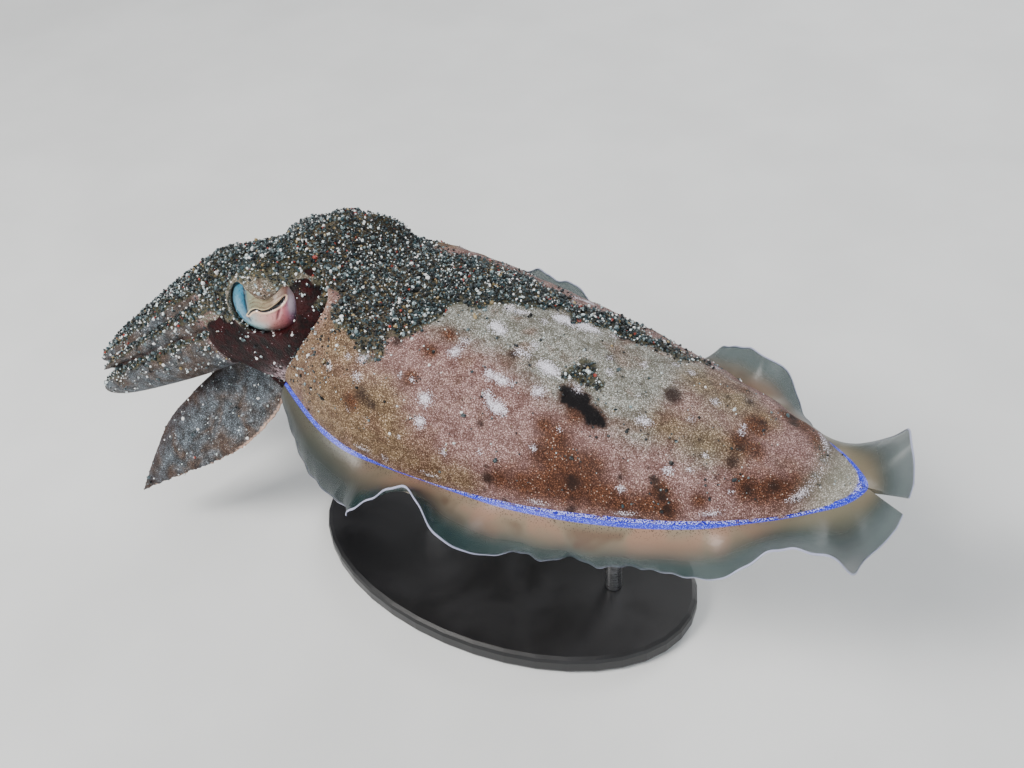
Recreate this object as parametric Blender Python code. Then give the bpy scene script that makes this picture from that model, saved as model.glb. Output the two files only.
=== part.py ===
"""A pharaoh cuttlefish hovering over a plain display stand, at life size.

Metres, +Z up. The head points to -X, the tail to +X, and the animal's left side to -Y.
The animal is modelled about the middle of its mantle and hung on one empty, body_place,
which lifts it over the stand. The stand's foot is centred on the world's origin.
"""

import math

import bmesh
import bpy
from mathutils import Matrix, Vector

# Driving sizes
MANTLE_LENGTH = 0.120
GAP = 0.0003
HOVER_HEIGHT = 0.062
BODY_SHIFT = 0.022

# Mantle, as shares of its length
MANTLE_HALF_WIDTH = 0.247 * MANTLE_LENGTH
MANTLE_RISE = 0.204 * MANTLE_LENGTH
MANTLE_DEPTH = 0.150 * MANTLE_LENGTH
FIN_LINE_SAG = 0.056 * MANTLE_LENGTH
FIN_LINE_FRONT_DROP = 0.008 * MANTLE_LENGTH
MANTLE_ROUNDNESS = 2.3
MANTLE_RINGS = 26
MANTLE_SIDES = 34
MARGIN_FADE = 0.22
COLLAR_DISH = 0.006
MARGIN_FLARE = 0.0016

# The right half of the front edge stands up off the head: rise, then place and reach along and round
COLLAR_RISE = 0.0060
COLLAR_PLACE = (0.0, math.radians(63))
COLLAR_REACH = (0.055, math.radians(26))

# Front edge of the mantle: how far it stands back, by angle from the left side upwards
MARGIN_KEYS = [
    (-90, 0.006), (-50, 0.004), (-15, 0.001), (0, 0.0),
    (15, 0.0030), (35, 0.0072), (55, 0.0095), (72, 0.0050), (90, -0.0050),
]

# Crown of arms: the line down its middle, its outer and inner radius from root to tips
CROWN_ROOT = Vector((-0.0835, -0.0046, 0.0012))
CROWN_BEND = Vector((-0.1000, -0.0080, -0.0092))
CROWN_TIP = Vector((-0.1288, -0.0140, -0.0278))
CROWN_OUTER = [(0.0, 0.0144), (0.35, 0.0128), (0.7, 0.0101), (1.0, 0.0077)]
CROWN_INNER = [(0.0, 0.0064), (0.35, 0.0054), (0.7, 0.0040), (1.0, 0.0026)]

# Head, from inside the mantle to the crown: centre, way forward, half width, rise, depth
CROWN_WAY = (CROWN_BEND - CROWN_ROOT).normalized()
HEAD_KEYS = [
    (0.00, Vector((-0.0430, 0.0000, 0.0020)), Vector((-1.00, 0.00, 0.00)), 0.0155, 0.0130, 0.0115),
    (0.26, Vector((-0.0540, 0.0000, 0.0025)), Vector((-1.00, 0.00, 0.00)), 0.0180, 0.0158, 0.0132),
    (0.52, Vector((-0.0650, -0.0010, 0.0028)), Vector((-0.99, -0.07, -0.08)), 0.0172, 0.0172, 0.0152),
    (0.78, Vector((-0.0755, -0.0028, 0.0022)), Vector((-0.96, -0.13, -0.20)), 0.0154, 0.0154, 0.0154),
    (1.00, CROWN_ROOT - CROWN_WAY * GAP, CROWN_WAY, 0.0145, 0.0145, 0.0145),
]
HEAD_ROUNDNESS = [(0.0, 2.3), (0.5, 2.3), (0.8, 2.1), (1.0, 2.0)]
HEAD_RINGS = 18
HEAD_SIDES = 36
BROWS = [
    (Vector((-0.0630, -0.0115, 0.0180)), 0.0036, Vector((0.0110, 0.0085, 0.0085))),
    (Vector((-0.0545, -0.0125, 0.0180)), 0.0020, Vector((0.0080, 0.0090, 0.0090))),
    (Vector((-0.0610, 0.0110, 0.0175)), 0.0064, Vector((0.0098, 0.0110, 0.0100))),
]
NAPE = (-0.0520, -0.0440)

# Eyes. The right one is drawn in and down a little
EYE_CENTRES = {-1: Vector((-0.0678, -0.0102, 0.0136)), 1: Vector((-0.0686, 0.0086, 0.0112))}
EYE_RADII = Vector((0.0086, 0.0078, 0.0080))
EYE_YAW = math.radians(24)
EYE_RISE = math.radians(20)
LID_THICKNESS = 0.0011
EYE_OPENING = (0.0080, 0.0063)
LID_FLAP = 0.0034
LID_FLAP_SPREAD = math.radians(34)

# Arms held in the crown: middle angle from the back and half angle at the root, then at the tip,
# share of the crown's length, and bluntness
HELD_ARMS = {
    1: ((22.0, 22.0), (21.5, 21.5), 0.96, 6),
    2: ((58.5, 14.5), (54.0, 11.0), 0.95, 6),
    3: ((98.0, 25.0), (104.0, 39.0), 1.01, 9),
}
ARM_RINGS = 12
ARM_SIDES = 12
ARM_ROUNDNESS = [(0.0, 4.4), (0.3, 3.4), (1.1, 2.8)]

# Lowest pair of arms, broad blades that hang: share of length, upper edge, lower edge, thickness
BLADE_KEYS = [
    (0.00, Vector((-0.0840, -0.0070, -0.0050)), Vector((-0.0700, -0.0075, -0.0070)), 0.0050),
    (0.20, Vector((-0.0935, -0.0085, -0.0165)), Vector((-0.0715, -0.0115, -0.0165)), 0.0048),
    (0.40, Vector((-0.1010, -0.0130, -0.0245)), Vector((-0.0742, -0.0160, -0.0222)), 0.0040),
    (0.60, Vector((-0.1054, -0.0200, -0.0305)), Vector((-0.0790, -0.0220, -0.0275)), 0.0033),
    (0.80, Vector((-0.1080, -0.0260, -0.0386)), Vector((-0.0880, -0.0265, -0.0335)), 0.0025),
    (0.92, Vector((-0.1105, -0.0290, -0.0453)), Vector((-0.0990, -0.0287, -0.0405)), 0.0018),
    (1.00, Vector((-0.1131, -0.0300, -0.0505)), Vector((-0.1122, -0.0300, -0.0500)), 0.0010),
]
BLADE_RINGS = 16
BLADE_SIDES = 14
FAR_BLADE_SPREAD = 0.8

# Suckers
SUCKERS_PER_ROW = 10
SUCKER_ROWS = 2
SUCKER_SIDES = 6
SUCKER_ROOT_RADIUS = 0.00085
SUCKER_TIP_RADIUS = 0.00035
SUCKER_SHARE = 0.6

# Fins
FIN_STATIONS = 52
FIN_STRIPS = 5
FIN_ROOT_HALF = 0.0007
FIN_EDGE_HALF = 0.0003
FIN_WIDTHS = [
    (0.0, 0.0060), (0.06, 0.0090), (0.12, 0.0118), (0.2, 0.0122), (0.35, 0.0108), (0.6, 0.0110),
    (0.8, 0.0100), (0.88, 0.0100), (0.93, 0.0112), (0.97, 0.0128), (1.0, 0.0078),
]
LEFT_FIN_LIFT = [
    (0.0, -68), (0.06, -58), (0.15, -58), (0.2, -48), (0.25, -4), (0.3, 26), (0.35, 32), (0.40, 0),
    (0.46, -55), (0.55, -72), (0.7, -70), (0.78, -56), (0.84, -4), (0.89, 20), (0.94, 2),
    (0.97, -38), (0.985, -38), (1.0, -4),
]
RIGHT_FIN_LIFT = [
    (0.0, -60), (0.1, -45), (0.2, -5), (0.3, 12), (0.4, -15), (0.5, -45), (0.6, -22), (0.65, 8),
    (0.7, 30), (0.75, 28), (0.8, -12), (0.85, -42), (0.9, -38), (0.94, -8),
    (0.97, 24), (0.985, 30), (1.0, -4),
]

# Siphon and mouth
SIPHON_ROOT = Vector((-0.0520, 0.0, -0.0090))
SIPHON_TIP = Vector((-0.0715, 0.0, -0.0175))
SIPHON_RADII = (0.0060, 0.0036)
SIPHON_WALL = 0.0010
SIPHON_BORE_DEPTH = 0.012
MOUTH_RADIUS = 0.0046
MOUTH_HEIGHT = 0.0042
MOUTH_LOBES = 10

# Stand
BASE_HALF_LENGTH = 0.050
BASE_HALF_WIDTH = 0.030
BASE_THICKNESS = 0.005
ROD_RADIUS = 0.002
ROD_PLACES = {"stand_rod_front": -0.020, "stand_rod_rear": 0.030}

SIDES = {"left": -1, "right": 1}


def through(keys, u):
    """Value at u on a smooth curve through (place, value) keys. Values are numbers or vectors."""
    u = min(max(u, keys[0][0]), keys[-1][0])
    last = len(keys) - 1
    i = max(k for k in range(last) if keys[k][0] <= u)

    def slope(k):
        before, after = keys[max(k - 1, 0)], keys[min(k + 1, last)]
        return (after[1] - before[1]) / (after[0] - before[0])

    (u0, v0), (u1, v1) = keys[i], keys[i + 1]
    span = u1 - u0
    t = (u - u0) / span
    return (
        v0 * (2 * t**3 - 3 * t**2 + 1)
        + slope(i) * (span * (t**3 - 2 * t**2 + t))
        + v1 * (3 * t**2 - 2 * t**3)
        + slope(i + 1) * (span * (t**3 - t**2))
    )


def rounded(angle, roundness):
    """(cosine, sine) of an angle on a superellipse: 2 is an ellipse, and more is squarer."""
    c, s = math.cos(angle), math.sin(angle)
    power = 2 / roundness
    return math.copysign(abs(c) ** power, c), math.copysign(abs(s) ** power, s)


def tapered_oval(u, front, widest, tail):
    """Share of full size along the mantle: front at its edge, 1 where it is widest, 0 at the tail."""
    if u < widest:
        return front + (1 - front) * math.sin(u / widest * math.pi / 2)
    t = (u - widest) / (1 - widest)
    return max(1 - t * t, 0) ** tail


def upright_frame(way):
    """(up, left) across a direction that points forward."""
    way = way.normalized()
    up = (Vector((0, 0, 1)) - way * way.z).normalized()
    return up, up.cross(way)


def mesh_object(name, points, faces):
    mesh = bpy.data.meshes.new(name)
    mesh.from_pydata(points, [], faces)
    bm = bmesh.new()
    bm.from_mesh(mesh)
    bmesh.ops.remove_doubles(bm, verts=bm.verts, dist=1e-6)
    bmesh.ops.recalc_face_normals(bm, faces=bm.faces)
    bm.to_mesh(mesh)
    bm.free()
    obj = bpy.data.objects.new(name, mesh)
    bpy.context.scene.collection.objects.link(obj)
    return obj


def loft(name, rings, start=None, end=None):
    """A closed skin over rings of points, closed by a flat face, or by a fan to a point, at each end."""
    points = [p for ring in rings for p in ring]
    n = len(rings[0])
    faces = [
        (a * n + j, a * n + (j + 1) % n, (a + 1) * n + (j + 1) % n, (a + 1) * n + j)
        for a in range(len(rings) - 1)
        for j in range(n)
    ]
    for ring_at, tip in ((0, start), ((len(rings) - 1) * n, end)):
        if tip is None:
            faces.append(tuple(ring_at + j for j in range(n)))
            continue
        points.append(tip)
        faces += [(ring_at + j, ring_at + (j + 1) % n, len(points) - 1) for j in range(n)]
    return mesh_object(name, points, faces)


def settle(obj):
    """Applies an object's modifiers and keeps its largest closed surface."""
    graph = bpy.context.evaluated_depsgraph_get()
    mesh = bpy.data.meshes.new_from_object(obj.evaluated_get(graph))
    obj.modifiers.clear()
    obj.data = mesh
    bm = bmesh.new()
    bm.from_mesh(mesh)
    left = set(bm.verts)
    shells = []
    while left:
        shell, edge = set(), [left.pop()]
        while edge:
            vert = edge.pop()
            shell.add(vert)
            for link in vert.link_edges:
                other = link.other_vert(vert)
                if other in left:
                    left.remove(other)
                    edge.append(other)
        shells.append(shell)
    shells.sort(key=len)
    bmesh.ops.delete(bm, geom=[v for shell in shells[:-1] for v in shell], context="VERTS")
    bm.to_mesh(mesh)
    bm.free()


def combine(base, pieces, operation):
    """Joins the pieces to the base, or cuts them from it, and removes them."""
    group = bpy.data.collections.new(base.name + "_pieces")
    bpy.context.scene.collection.children.link(group)
    for piece in pieces:
        bpy.context.scene.collection.objects.unlink(piece)
        group.objects.link(piece)
    boolean = base.modifiers.new("combine", "BOOLEAN")
    boolean.operation = operation
    boolean.operand_type = "COLLECTION"
    boolean.collection = group
    boolean.solver = "EXACT"
    bpy.context.view_layer.update()
    settle(base)
    for piece in pieces:
        bpy.data.objects.remove(piece)
    bpy.data.collections.remove(group)
    return base


def ball(name, centre, radii, turn, columns, rows):
    """An ellipsoid, turned about its centre."""
    bm = bmesh.new()
    bmesh.ops.create_uvsphere(bm, u_segments=columns, v_segments=rows, radius=1.0)
    place = Matrix.Translation(centre) @ turn.to_4x4() @ Matrix.Diagonal((*radii, 1))
    bmesh.ops.transform(bm, matrix=place, verts=bm.verts)
    mesh = bpy.data.meshes.new(name)
    bm.to_mesh(mesh)
    bm.free()
    obj = bpy.data.objects.new(name, mesh)
    bpy.context.scene.collection.objects.link(obj)
    return obj


# Mantle


def half_width(u):
    return MANTLE_HALF_WIDTH * tapered_oval(u, 0.706, 0.204, 0.64)


def rise(u):
    return MANTLE_RISE * tapered_oval(u, 0.895, 0.193, 1.06)


def depth(u):
    return MANTLE_DEPTH * tapered_oval(u, 0.86, 0.30, 0.95)


def fin_line_height(u):
    return -FIN_LINE_SAG * 4 * u * (1 - u) - FIN_LINE_FRONT_DROP * (1 - u) ** 2


def along(u):
    return MANTLE_LENGTH * (u - 0.5)


def margin_back(angle):
    """How far the mantle's front edge stands back at an angle round it, the same on both sides."""
    degrees = math.degrees(math.asin(max(-1, min(1, math.sin(angle)))))
    return through(MARGIN_KEYS, degrees)


def mantle_point(u, angle, grow=0.0):
    """A point of the mantle's surface. Angle 0 is the right fin line, 90 degrees the back."""
    c, s = rounded(angle, MANTLE_ROUNDNESS)
    fade = max(0.0, 1 - u / MARGIN_FADE) ** 2
    collar = COLLAR_RISE * math.exp(-sum(
        ((at - middle) / reach) ** 2 for at, middle, reach in zip((u, angle), COLLAR_PLACE, COLLAR_REACH)
    ))
    height = rise(u) + MARGIN_FLARE * fade**2 + collar if s > 0 else depth(u)
    return Vector((
        along(u) + margin_back(angle) * fade,
        c * (half_width(u) + grow),
        fin_line_height(u) + s * (height + grow),
    ))


def mantle_solid(name, grow=0.0):
    rings = []
    for i in range(MANTLE_RINGS):
        u = math.sin(math.pi / 2 * i / MANTLE_RINGS)
        rings.append([mantle_point(u, 2 * math.pi * j / MANTLE_SIDES, grow) for j in range(MANTLE_SIDES)])
    front = Vector((along(0) + COLLAR_DISH, 0, 0))
    tail = Vector((along(1) + grow, 0, fin_line_height(1)))
    return loft(name, rings, start=front, end=tail)


# Head


def head_key(s, column):
    return through([(k[0], k[column]) for k in HEAD_KEYS], s)


def brow_lift(point):
    """How far the skin rises over the eyes at a point of the head, and not inside the mantle."""
    lift = 0.0
    for top, height, spread in BROWS:
        away = point - top
        lift += height * math.exp(-sum((a / w) ** 2 for a, w in zip(away, spread)))
    outside = (NAPE[1] - point.x) / (NAPE[1] - NAPE[0])
    outside = min(max(outside, 0.0), 1.0)
    return lift * outside**2 * (3 - 2 * outside)


def head_ring(s, grow=0.0):
    centre, way = head_key(s, 1), head_key(s, 2)
    wide, high, deep = (head_key(s, column) + grow for column in (3, 4, 5))
    up, left = upright_frame(way)
    ring = []
    for j in range(HEAD_SIDES):
        c, z = rounded(2 * math.pi * j / HEAD_SIDES, through(HEAD_ROUNDNESS, s))
        point = centre + left * (c * wide) + up * (z * (high if z > 0 else deep))
        ring.append(point + (point - centre).normalized() * brow_lift(point))
    return ring


def eye_turn(side):
    """Turns +X of an eye to face out of the head on that side, a little up and back."""
    return Matrix.Rotation(side * (math.pi / 2 - EYE_YAW), 3, "Z") @ Matrix.Rotation(-EYE_RISE, 3, "Y")


def eye_ball(name, side, grow=0.0):
    """The eyeball. Its own +X looks out, and its long radius lies level across it."""
    radii = Vector((EYE_RADII.y + grow, EYE_RADII.x + grow, EYE_RADII.z + grow))
    return ball(name, EYE_CENTRES[side], radii, eye_turn(side), 20, 12)


def eye_opening(side):
    """A cutter through the lids: an oval with a flap of skin that hangs into it from above."""
    turn, centre = eye_turn(side), EYE_CENTRES[side]
    rings = []
    for out, share in ((0.2 * EYE_RADII.y, 0.9), (1.6 * EYE_RADII.y, 1.05)):
        ring = []
        for i in range(32):
            a = 2 * math.pi * i / 32
            flap = LID_FLAP * math.exp(-((a - math.pi / 2) / LID_FLAP_SPREAD) ** 2)
            across, high = math.cos(a) * EYE_OPENING[0], math.sin(a) * EYE_OPENING[1] - flap
            ring.append(centre + turn @ Vector((out, share * across, share * high)))
        rings.append(ring)
    return loft("opening", rings)


def head_solid(name, grow=0.0):
    """The head with skin over the eyes, and no sockets."""
    rings = [head_ring(i / HEAD_RINGS, grow) for i in range(HEAD_RINGS + 1)]
    skins = [eye_ball("lids", side, GAP + LID_THICKNESS + grow) for side in SIDES.values()]
    return combine(loft(name, rings), skins, "UNION")


# Arms


def crown_axis(t):
    """(point, way) on the line down the middle of the crown; it runs straight on past the tips."""
    reach = min(t, 1.0)
    a, b, c = CROWN_ROOT, CROWN_BEND, CROWN_TIP
    point = a * (1 - reach) ** 2 + b * (2 * reach * (1 - reach)) + c * reach**2
    way = (b - a) * (1 - reach) + (c - b) * reach
    return point + way * (2 * (t - reach)), way.normalized()


def crown_point(t, angle, radius):
    """A point round the crown's line. The angle runs from the back, down the left side if positive."""
    centre, way = crown_axis(t)
    up, left = upright_frame(way)
    return centre + up * (math.cos(angle) * radius) + left * (math.sin(angle) * radius)


def held_arm_section(number, t):
    """(inner radius, outer radius, share of the half angle) of a held arm at t."""
    length, blunt = HELD_ARMS[number][2:]
    left_over = max(0.0, 1 - (t / length) ** blunt) ** 0.5
    outer, inner = through(CROWN_OUTER, t), through(CROWN_INNER, t)
    middle, half = 0.5 * (outer + inner), 0.5 * (outer - inner) * left_over
    return middle - half, middle + half, left_over


def held_arm_spread(number, t):
    """(middle angle, half angle) of a held arm at t, in degrees."""
    root, tip = HELD_ARMS[number][:2]
    reach = min(max(t, 0.0), 1.0)
    return tuple(a + (b - a) * reach for a, b in zip(root, tip))


def held_arm_point(number, side, t, around, grow=0.0):
    """A point of a held arm's surface. The angle around is 0 at its upper edge, 90 degrees outside."""
    middle_angle, half_angle = held_arm_spread(number, t)
    inner, outer, share = held_arm_section(number, t)
    c, s = rounded(around, through(ARM_ROUNDNESS, t))
    radius = 0.5 * (inner + outer) + s * (0.5 * (outer - inner) + grow)
    spread = math.radians(half_angle) * share - (0.5 * GAP * 1.4 - grow) / radius
    return crown_point(t, -side * (math.radians(middle_angle) - c * max(spread, 0.01)), radius)


def held_arm_skin(name, number, side, grow=0.0):
    length = HELD_ARMS[number][2]
    rings = []
    for i in range(ARM_RINGS):
        t = length * math.sin(math.pi / 2 * i / ARM_RINGS)
        turns = [2 * math.pi * j / ARM_SIDES for j in range(ARM_SIDES)]
        rings.append([held_arm_point(number, side, t, around, grow) for around in turns])
    inner, outer, _ = held_arm_section(number, length)
    middle_angle, _ = held_arm_spread(number, length)
    tip = crown_point(length + grow / 0.05, -side * math.radians(middle_angle), 0.5 * (inner + outer))
    return loft(name, rings, end=tip)


def sucker(radius, place, inward, across):
    """A short cup, wider at its rim and dished, rooted at a place."""
    other = inward.cross(across).normalized()
    rings = []
    for share, height in ((0.62, -0.9), (1.0, 0.95)):
        ring = []
        for j in range(SUCKER_SIDES):
            a = 2 * math.pi * j / SUCKER_SIDES
            spoke = across * math.cos(a) + other * math.sin(a)
            ring.append(place + spoke * (radius * share) + inward * (radius * height))
        rings.append(ring)
    return loft("sucker", rings, end=place + inward * (radius * 0.35))


def sucker_places():
    """(share of the arm's length, row from -1 to 1, radius), staggered from row to row."""
    places = []
    for row in range(SUCKER_ROWS):
        for k in range(SUCKERS_PER_ROW):
            t = 0.05 + 0.87 * (k + 0.5 * row) / SUCKERS_PER_ROW
            radius = SUCKER_ROOT_RADIUS + t * (SUCKER_TIP_RADIUS - SUCKER_ROOT_RADIUS)
            places.append((t, 2 * row / (SUCKER_ROWS - 1) - 1, radius))
    return places


def held_arm(number, side_name):
    side = SIDES[side_name]
    arm = held_arm_skin(f"arm_{number}_{side_name}", number, side)
    length = HELD_ARMS[number][2]
    cups = []
    for share, row, radius in sucker_places():
        t = share * length
        inner, _, left_over = held_arm_section(number, t)
        middle, half = held_arm_spread(number, t)
        radius = min(radius, SUCKER_SHARE * inner * math.radians(half))
        angle = -side * math.radians(middle + row * 0.45 * half * left_over)
        place = crown_point(t, angle, inner + 0.1 * radius)
        centre, way = crown_axis(t)
        cups.append(sucker(radius, place, (centre - place).normalized(), way))
    return combine(arm, cups, "UNION")


def blade_edges(t):
    """(upper edge, lower edge, thickness) of the left hanging arm at t."""
    return tuple(through([(k[0], k[column]) for k in BLADE_KEYS], t) for column in (1, 2, 3))


def blade_point(side, t, c, s):
    """A point of a hanging arm: c runs from upper to lower edge, -1 to 1, and s is 1 on its outer face."""
    upper, lower, thick = blade_edges(t)
    ahead, behind = blade_edges(min(t + 0.02, 1)), blade_edges(max(t - 0.02, 0))
    way = ahead[0] + ahead[1] - behind[0] - behind[1]
    out = way.cross(lower - upper).normalized()
    point = upper.lerp(lower, 0.5 + 0.5 * c) + out * (0.5 * s * thick * (0.72 - 0.28 * c))
    return Vector((point.x, (point.y if side < 0 else -FAR_BLADE_SPREAD * point.y), point.z))


def hanging_arm(side_name):
    side = SIDES[side_name]
    rings = []
    for i in range(BLADE_RINGS + 1):
        around = [rounded(2 * math.pi * j / BLADE_SIDES, 1.8) for j in range(BLADE_SIDES)]
        rings.append([blade_point(side, i / BLADE_RINGS, c, s) for c, s in around])
    arm = loft(f"arm_4_{side_name}", rings)
    combine(arm, [head_solid("head_cutter", GAP), held_arm_skin("arm_cutter", 3, side, GAP)], "DIFFERENCE")
    cups = []
    for share, row, radius in sucker_places():
        t = 0.22 + 0.76 * share
        place = blade_point(side, t, -0.50 + 0.20 * row, -0.85)
        inward = (blade_point(side, t, -0.5, -1) - blade_point(side, t, -0.5, 1)).normalized()
        way = (blade_point(side, t + 0.01, -0.5, -1) - blade_point(side, t, -0.5, -1)).normalized()
        cups.append(sucker(0.8 * radius, place, inward, way))
    return combine(arm, cups, "UNION")


# Fins


def fin_outward(u):
    """Level direction out of the right fin line at u, square to it."""
    step = 0.004
    a, b = max(0.0, u - step), min(1.0, u + step)
    run = Vector((along(b) - along(a), half_width(b) - half_width(a), 0))
    return Vector((-run.y, run.x, 0)).normalized()


def fin_station(i):
    """Stations lie closer together toward the tail, where the fin turns."""
    return math.sin(math.pi / 2 * i / FIN_STATIONS)


def fin_solid(side_name):
    """A thin wavy membrane. Both faces are split into the same triangles, so that they never cross."""
    side = SIDES[side_name]
    lifts = LEFT_FIN_LIFT if side < 0 else RIGHT_FIN_LIFT
    points = []
    across = FIN_STRIPS + 1
    for i in range(FIN_STATIONS + 1):
        u = fin_station(i)
        lift = math.radians(through(lifts, u))
        width = through(FIN_WIDTHS, u)
        out = fin_outward(u)
        root = Vector((along(u), half_width(u), fin_line_height(u)))
        root += out * (GAP + FIN_ROOT_HALF * abs(math.sin(lift)) + 0.0001)
        for k in range(across):
            share = k / FIN_STRIPS
            bend = lift * (0.55 + 0.6 * share)
            here = out * math.cos(bend) + Vector((0, 0, math.sin(bend)))
            normal = Vector((0, 0, math.cos(bend))) - out * math.sin(bend)
            half = FIN_ROOT_HALF + (FIN_EDGE_HALF - FIN_ROOT_HALF) * share
            middle = root + here * (width * share)
            for up in (1, -1):
                p = middle + normal * (half * up)
                points.append(Vector((p.x, side * max(p.y, 0.7 * GAP), p.z)))
    faces = []

    def at(i, k, up):
        return (i * across + k) * 2 + (0 if up else 1)

    for i in range(FIN_STATIONS):
        for k in range(FIN_STRIPS):
            for up in (True, False):
                a, b, c, d = at(i, k, up), at(i + 1, k, up), at(i + 1, k + 1, up), at(i, k + 1, up)
                faces += [(a, b, c), (a, c, d)]
        for k in (0, FIN_STRIPS):
            a, b, c, d = at(i, k, True), at(i + 1, k, True), at(i + 1, k, False), at(i, k, False)
            faces += [(a, b, c), (a, c, d)]
    for i in (0, FIN_STATIONS):
        for k in range(FIN_STRIPS):
            a, b, c, d = at(i, k, True), at(i, k + 1, True), at(i, k + 1, False), at(i, k, False)
            faces += [(a, b, c), (a, c, d)]
    return mesh_object(f"fin_{side_name}", points, faces)


# Siphon and mouth


def tube_rings(root, tip, radii, count, sides=18):
    way = (tip - root).normalized()
    up, left = upright_frame(way)
    rings = []
    for i in range(count + 1):
        share = i / count
        radius = radii[0] + (radii[1] - radii[0]) * share
        turns = [2 * math.pi * j / sides for j in range(sides)]
        spokes = [up * math.sin(a) + left * math.cos(a) for a in turns]
        rings.append([root.lerp(tip, share) + spoke * radius for spoke in spokes])
    return rings


def siphon_solid(name, grow=0.0):
    radii = tuple(r + grow for r in SIPHON_RADII)
    return loft(name, tube_rings(SIPHON_ROOT, SIPHON_TIP, radii, 4))


def siphon_bore():
    way = (SIPHON_TIP - SIPHON_ROOT).normalized()
    start = SIPHON_TIP - way * SIPHON_BORE_DEPTH
    radii = (SIPHON_RADII[1] + 0.0002, SIPHON_RADII[1] - SIPHON_WALL)
    return loft("bore", tube_rings(start, SIPHON_TIP + way * 0.002, radii, 2))


def mouth_solid():
    """The lobed lip round the mouth, standing on the crown's floor."""
    _, way = crown_axis(0)
    up, left = upright_frame(way)
    foot = CROWN_ROOT + way * 0.0001
    rings = []
    for share, height in ((1.0, 0.0), (0.98, 0.5), (0.78, 0.92), (0.6, 1.0), (0.45, 0.78)):
        ring = []
        for j in range(3 * MOUTH_LOBES):
            a = 2 * math.pi * j / (3 * MOUTH_LOBES)
            lobe = 1 - 0.10 * (0.5 - 0.5 * math.cos(MOUTH_LOBES * a))
            radius = MOUTH_RADIUS * share * lobe
            spoke = up * math.cos(a) + left * math.sin(a)
            ring.append(foot + way * (MOUTH_HEIGHT * height) + spoke * radius)
        rings.append(ring)
    return loft("mouth", rings)


# Stand


def stand_base():
    bm = bmesh.new()
    bmesh.ops.create_cone(
        bm, cap_ends=True, segments=40, radius1=1.0, radius2=1.0, depth=BASE_THICKNESS,
        matrix=Matrix.Translation((0, 0, BASE_THICKNESS / 2)),
    )
    bmesh.ops.scale(bm, vec=(BASE_HALF_LENGTH, BASE_HALF_WIDTH, 1), verts=bm.verts)
    mesh = bpy.data.meshes.new("stand_base")
    bm.to_mesh(mesh)
    bm.free()
    base = bpy.data.objects.new("stand_base", mesh)
    bpy.context.scene.collection.objects.link(base)
    bevel = base.modifiers.new("eased_edge", "BEVEL")
    bevel.width = 0.0012
    bevel.segments = 2
    bevel.limit_method = "ANGLE"
    return base


def stand_rod(name, x, mantle_cutter):
    """A rod from the base to the belly, cut to the belly's curve with a thin gap."""
    bottom, top = BASE_THICKNESS + GAP, HOVER_HEIGHT
    bm = bmesh.new()
    bmesh.ops.create_cone(
        bm, cap_ends=True, segments=20, radius1=ROD_RADIUS, radius2=ROD_RADIUS, depth=top - bottom,
        matrix=Matrix.Translation((x, 0, (top + bottom) / 2)),
    )
    mesh = bpy.data.meshes.new(name)
    bm.to_mesh(mesh)
    bm.free()
    rod = bpy.data.objects.new(name, mesh)
    bpy.context.scene.collection.objects.link(rod)
    combine(rod, [mantle_cutter], "DIFFERENCE")
    return rod


def finish(obj, colour, roughness, place=None):
    """Gives a node its material, smooth shading and place."""
    material = bpy.data.materials.new(obj.name)
    material.use_nodes = True
    shader = material.node_tree.nodes["Principled BSDF"]
    shader.inputs["Base Color"].default_value = (*colour, 1)
    shader.inputs["Roughness"].default_value = roughness
    obj.data.materials.clear()
    obj.data.materials.append(material)
    obj.data.shade_smooth()
    obj.data.set_sharp_from_angle(angle=math.radians(45))
    obj.parent = place
    return obj


def main():
    for obj in list(bpy.data.objects):
        bpy.data.objects.remove(obj)

    body_place = bpy.data.objects.new("body_place", None)
    bpy.context.scene.collection.objects.link(body_place)
    body_place.location = (BODY_SHIFT, 0, HOVER_HEIGHT)

    skin, dark_skin, fin_skin = (0.33, 0.25, 0.19), (0.22, 0.17, 0.14), (0.55, 0.56, 0.50)
    eye_tint, horn = (0.70, 0.60, 0.58), (0.06, 0.04, 0.03)

    mantle = mantle_solid("mantle")
    combine(mantle, [head_solid("head_cutter", GAP), siphon_solid("siphon_cutter", GAP)], "DIFFERENCE")
    finish(mantle, skin, 0.5, body_place)

    head = head_solid("head")
    sockets = [eye_ball("socket", side, GAP) for side in SIDES.values()]
    combine(head, sockets + [eye_opening(side) for side in SIDES.values()], "DIFFERENCE")
    finish(head, dark_skin, 0.5, body_place)

    for side_name, side in SIDES.items():
        finish(eye_ball(f"eye_{side_name}", side), eye_tint, 0.2, body_place)
        for number in HELD_ARMS:
            finish(held_arm(number, side_name), dark_skin, 0.5, body_place)
        finish(hanging_arm(side_name), dark_skin, 0.5, body_place)
        finish(fin_solid(side_name), fin_skin, 0.4, body_place)

    siphon = siphon_solid("siphon")
    combine(siphon, [head_solid("head_cutter", GAP), siphon_bore()], "DIFFERENCE")
    finish(siphon, fin_skin, 0.5, body_place)
    finish(mouth_solid(), horn, 0.4, body_place)

    finish(stand_base(), (0.05, 0.05, 0.05), 0.35)
    for name, x in ROD_PLACES.items():
        cutter = mantle_solid("mantle_cutter", GAP)
        cutter.location = body_place.location
        finish(stand_rod(name, x, cutter), (0.6, 0.6, 0.62), 0.25)


main()
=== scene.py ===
"""A pharaoh cuttlefish over a plain display stand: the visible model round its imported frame.

Lengths are metres. Forms are worked out about the middle of the mantle, with the head to -X and
the animal's left side to -Y, and are moved over the stand once they are finished.
"""

import math

import bpy
import numpy as np
from mathutils import Matrix, Vector
from mathutils.bvhtree import BVHTree
from mathutils.kdtree import KDTree


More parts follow.
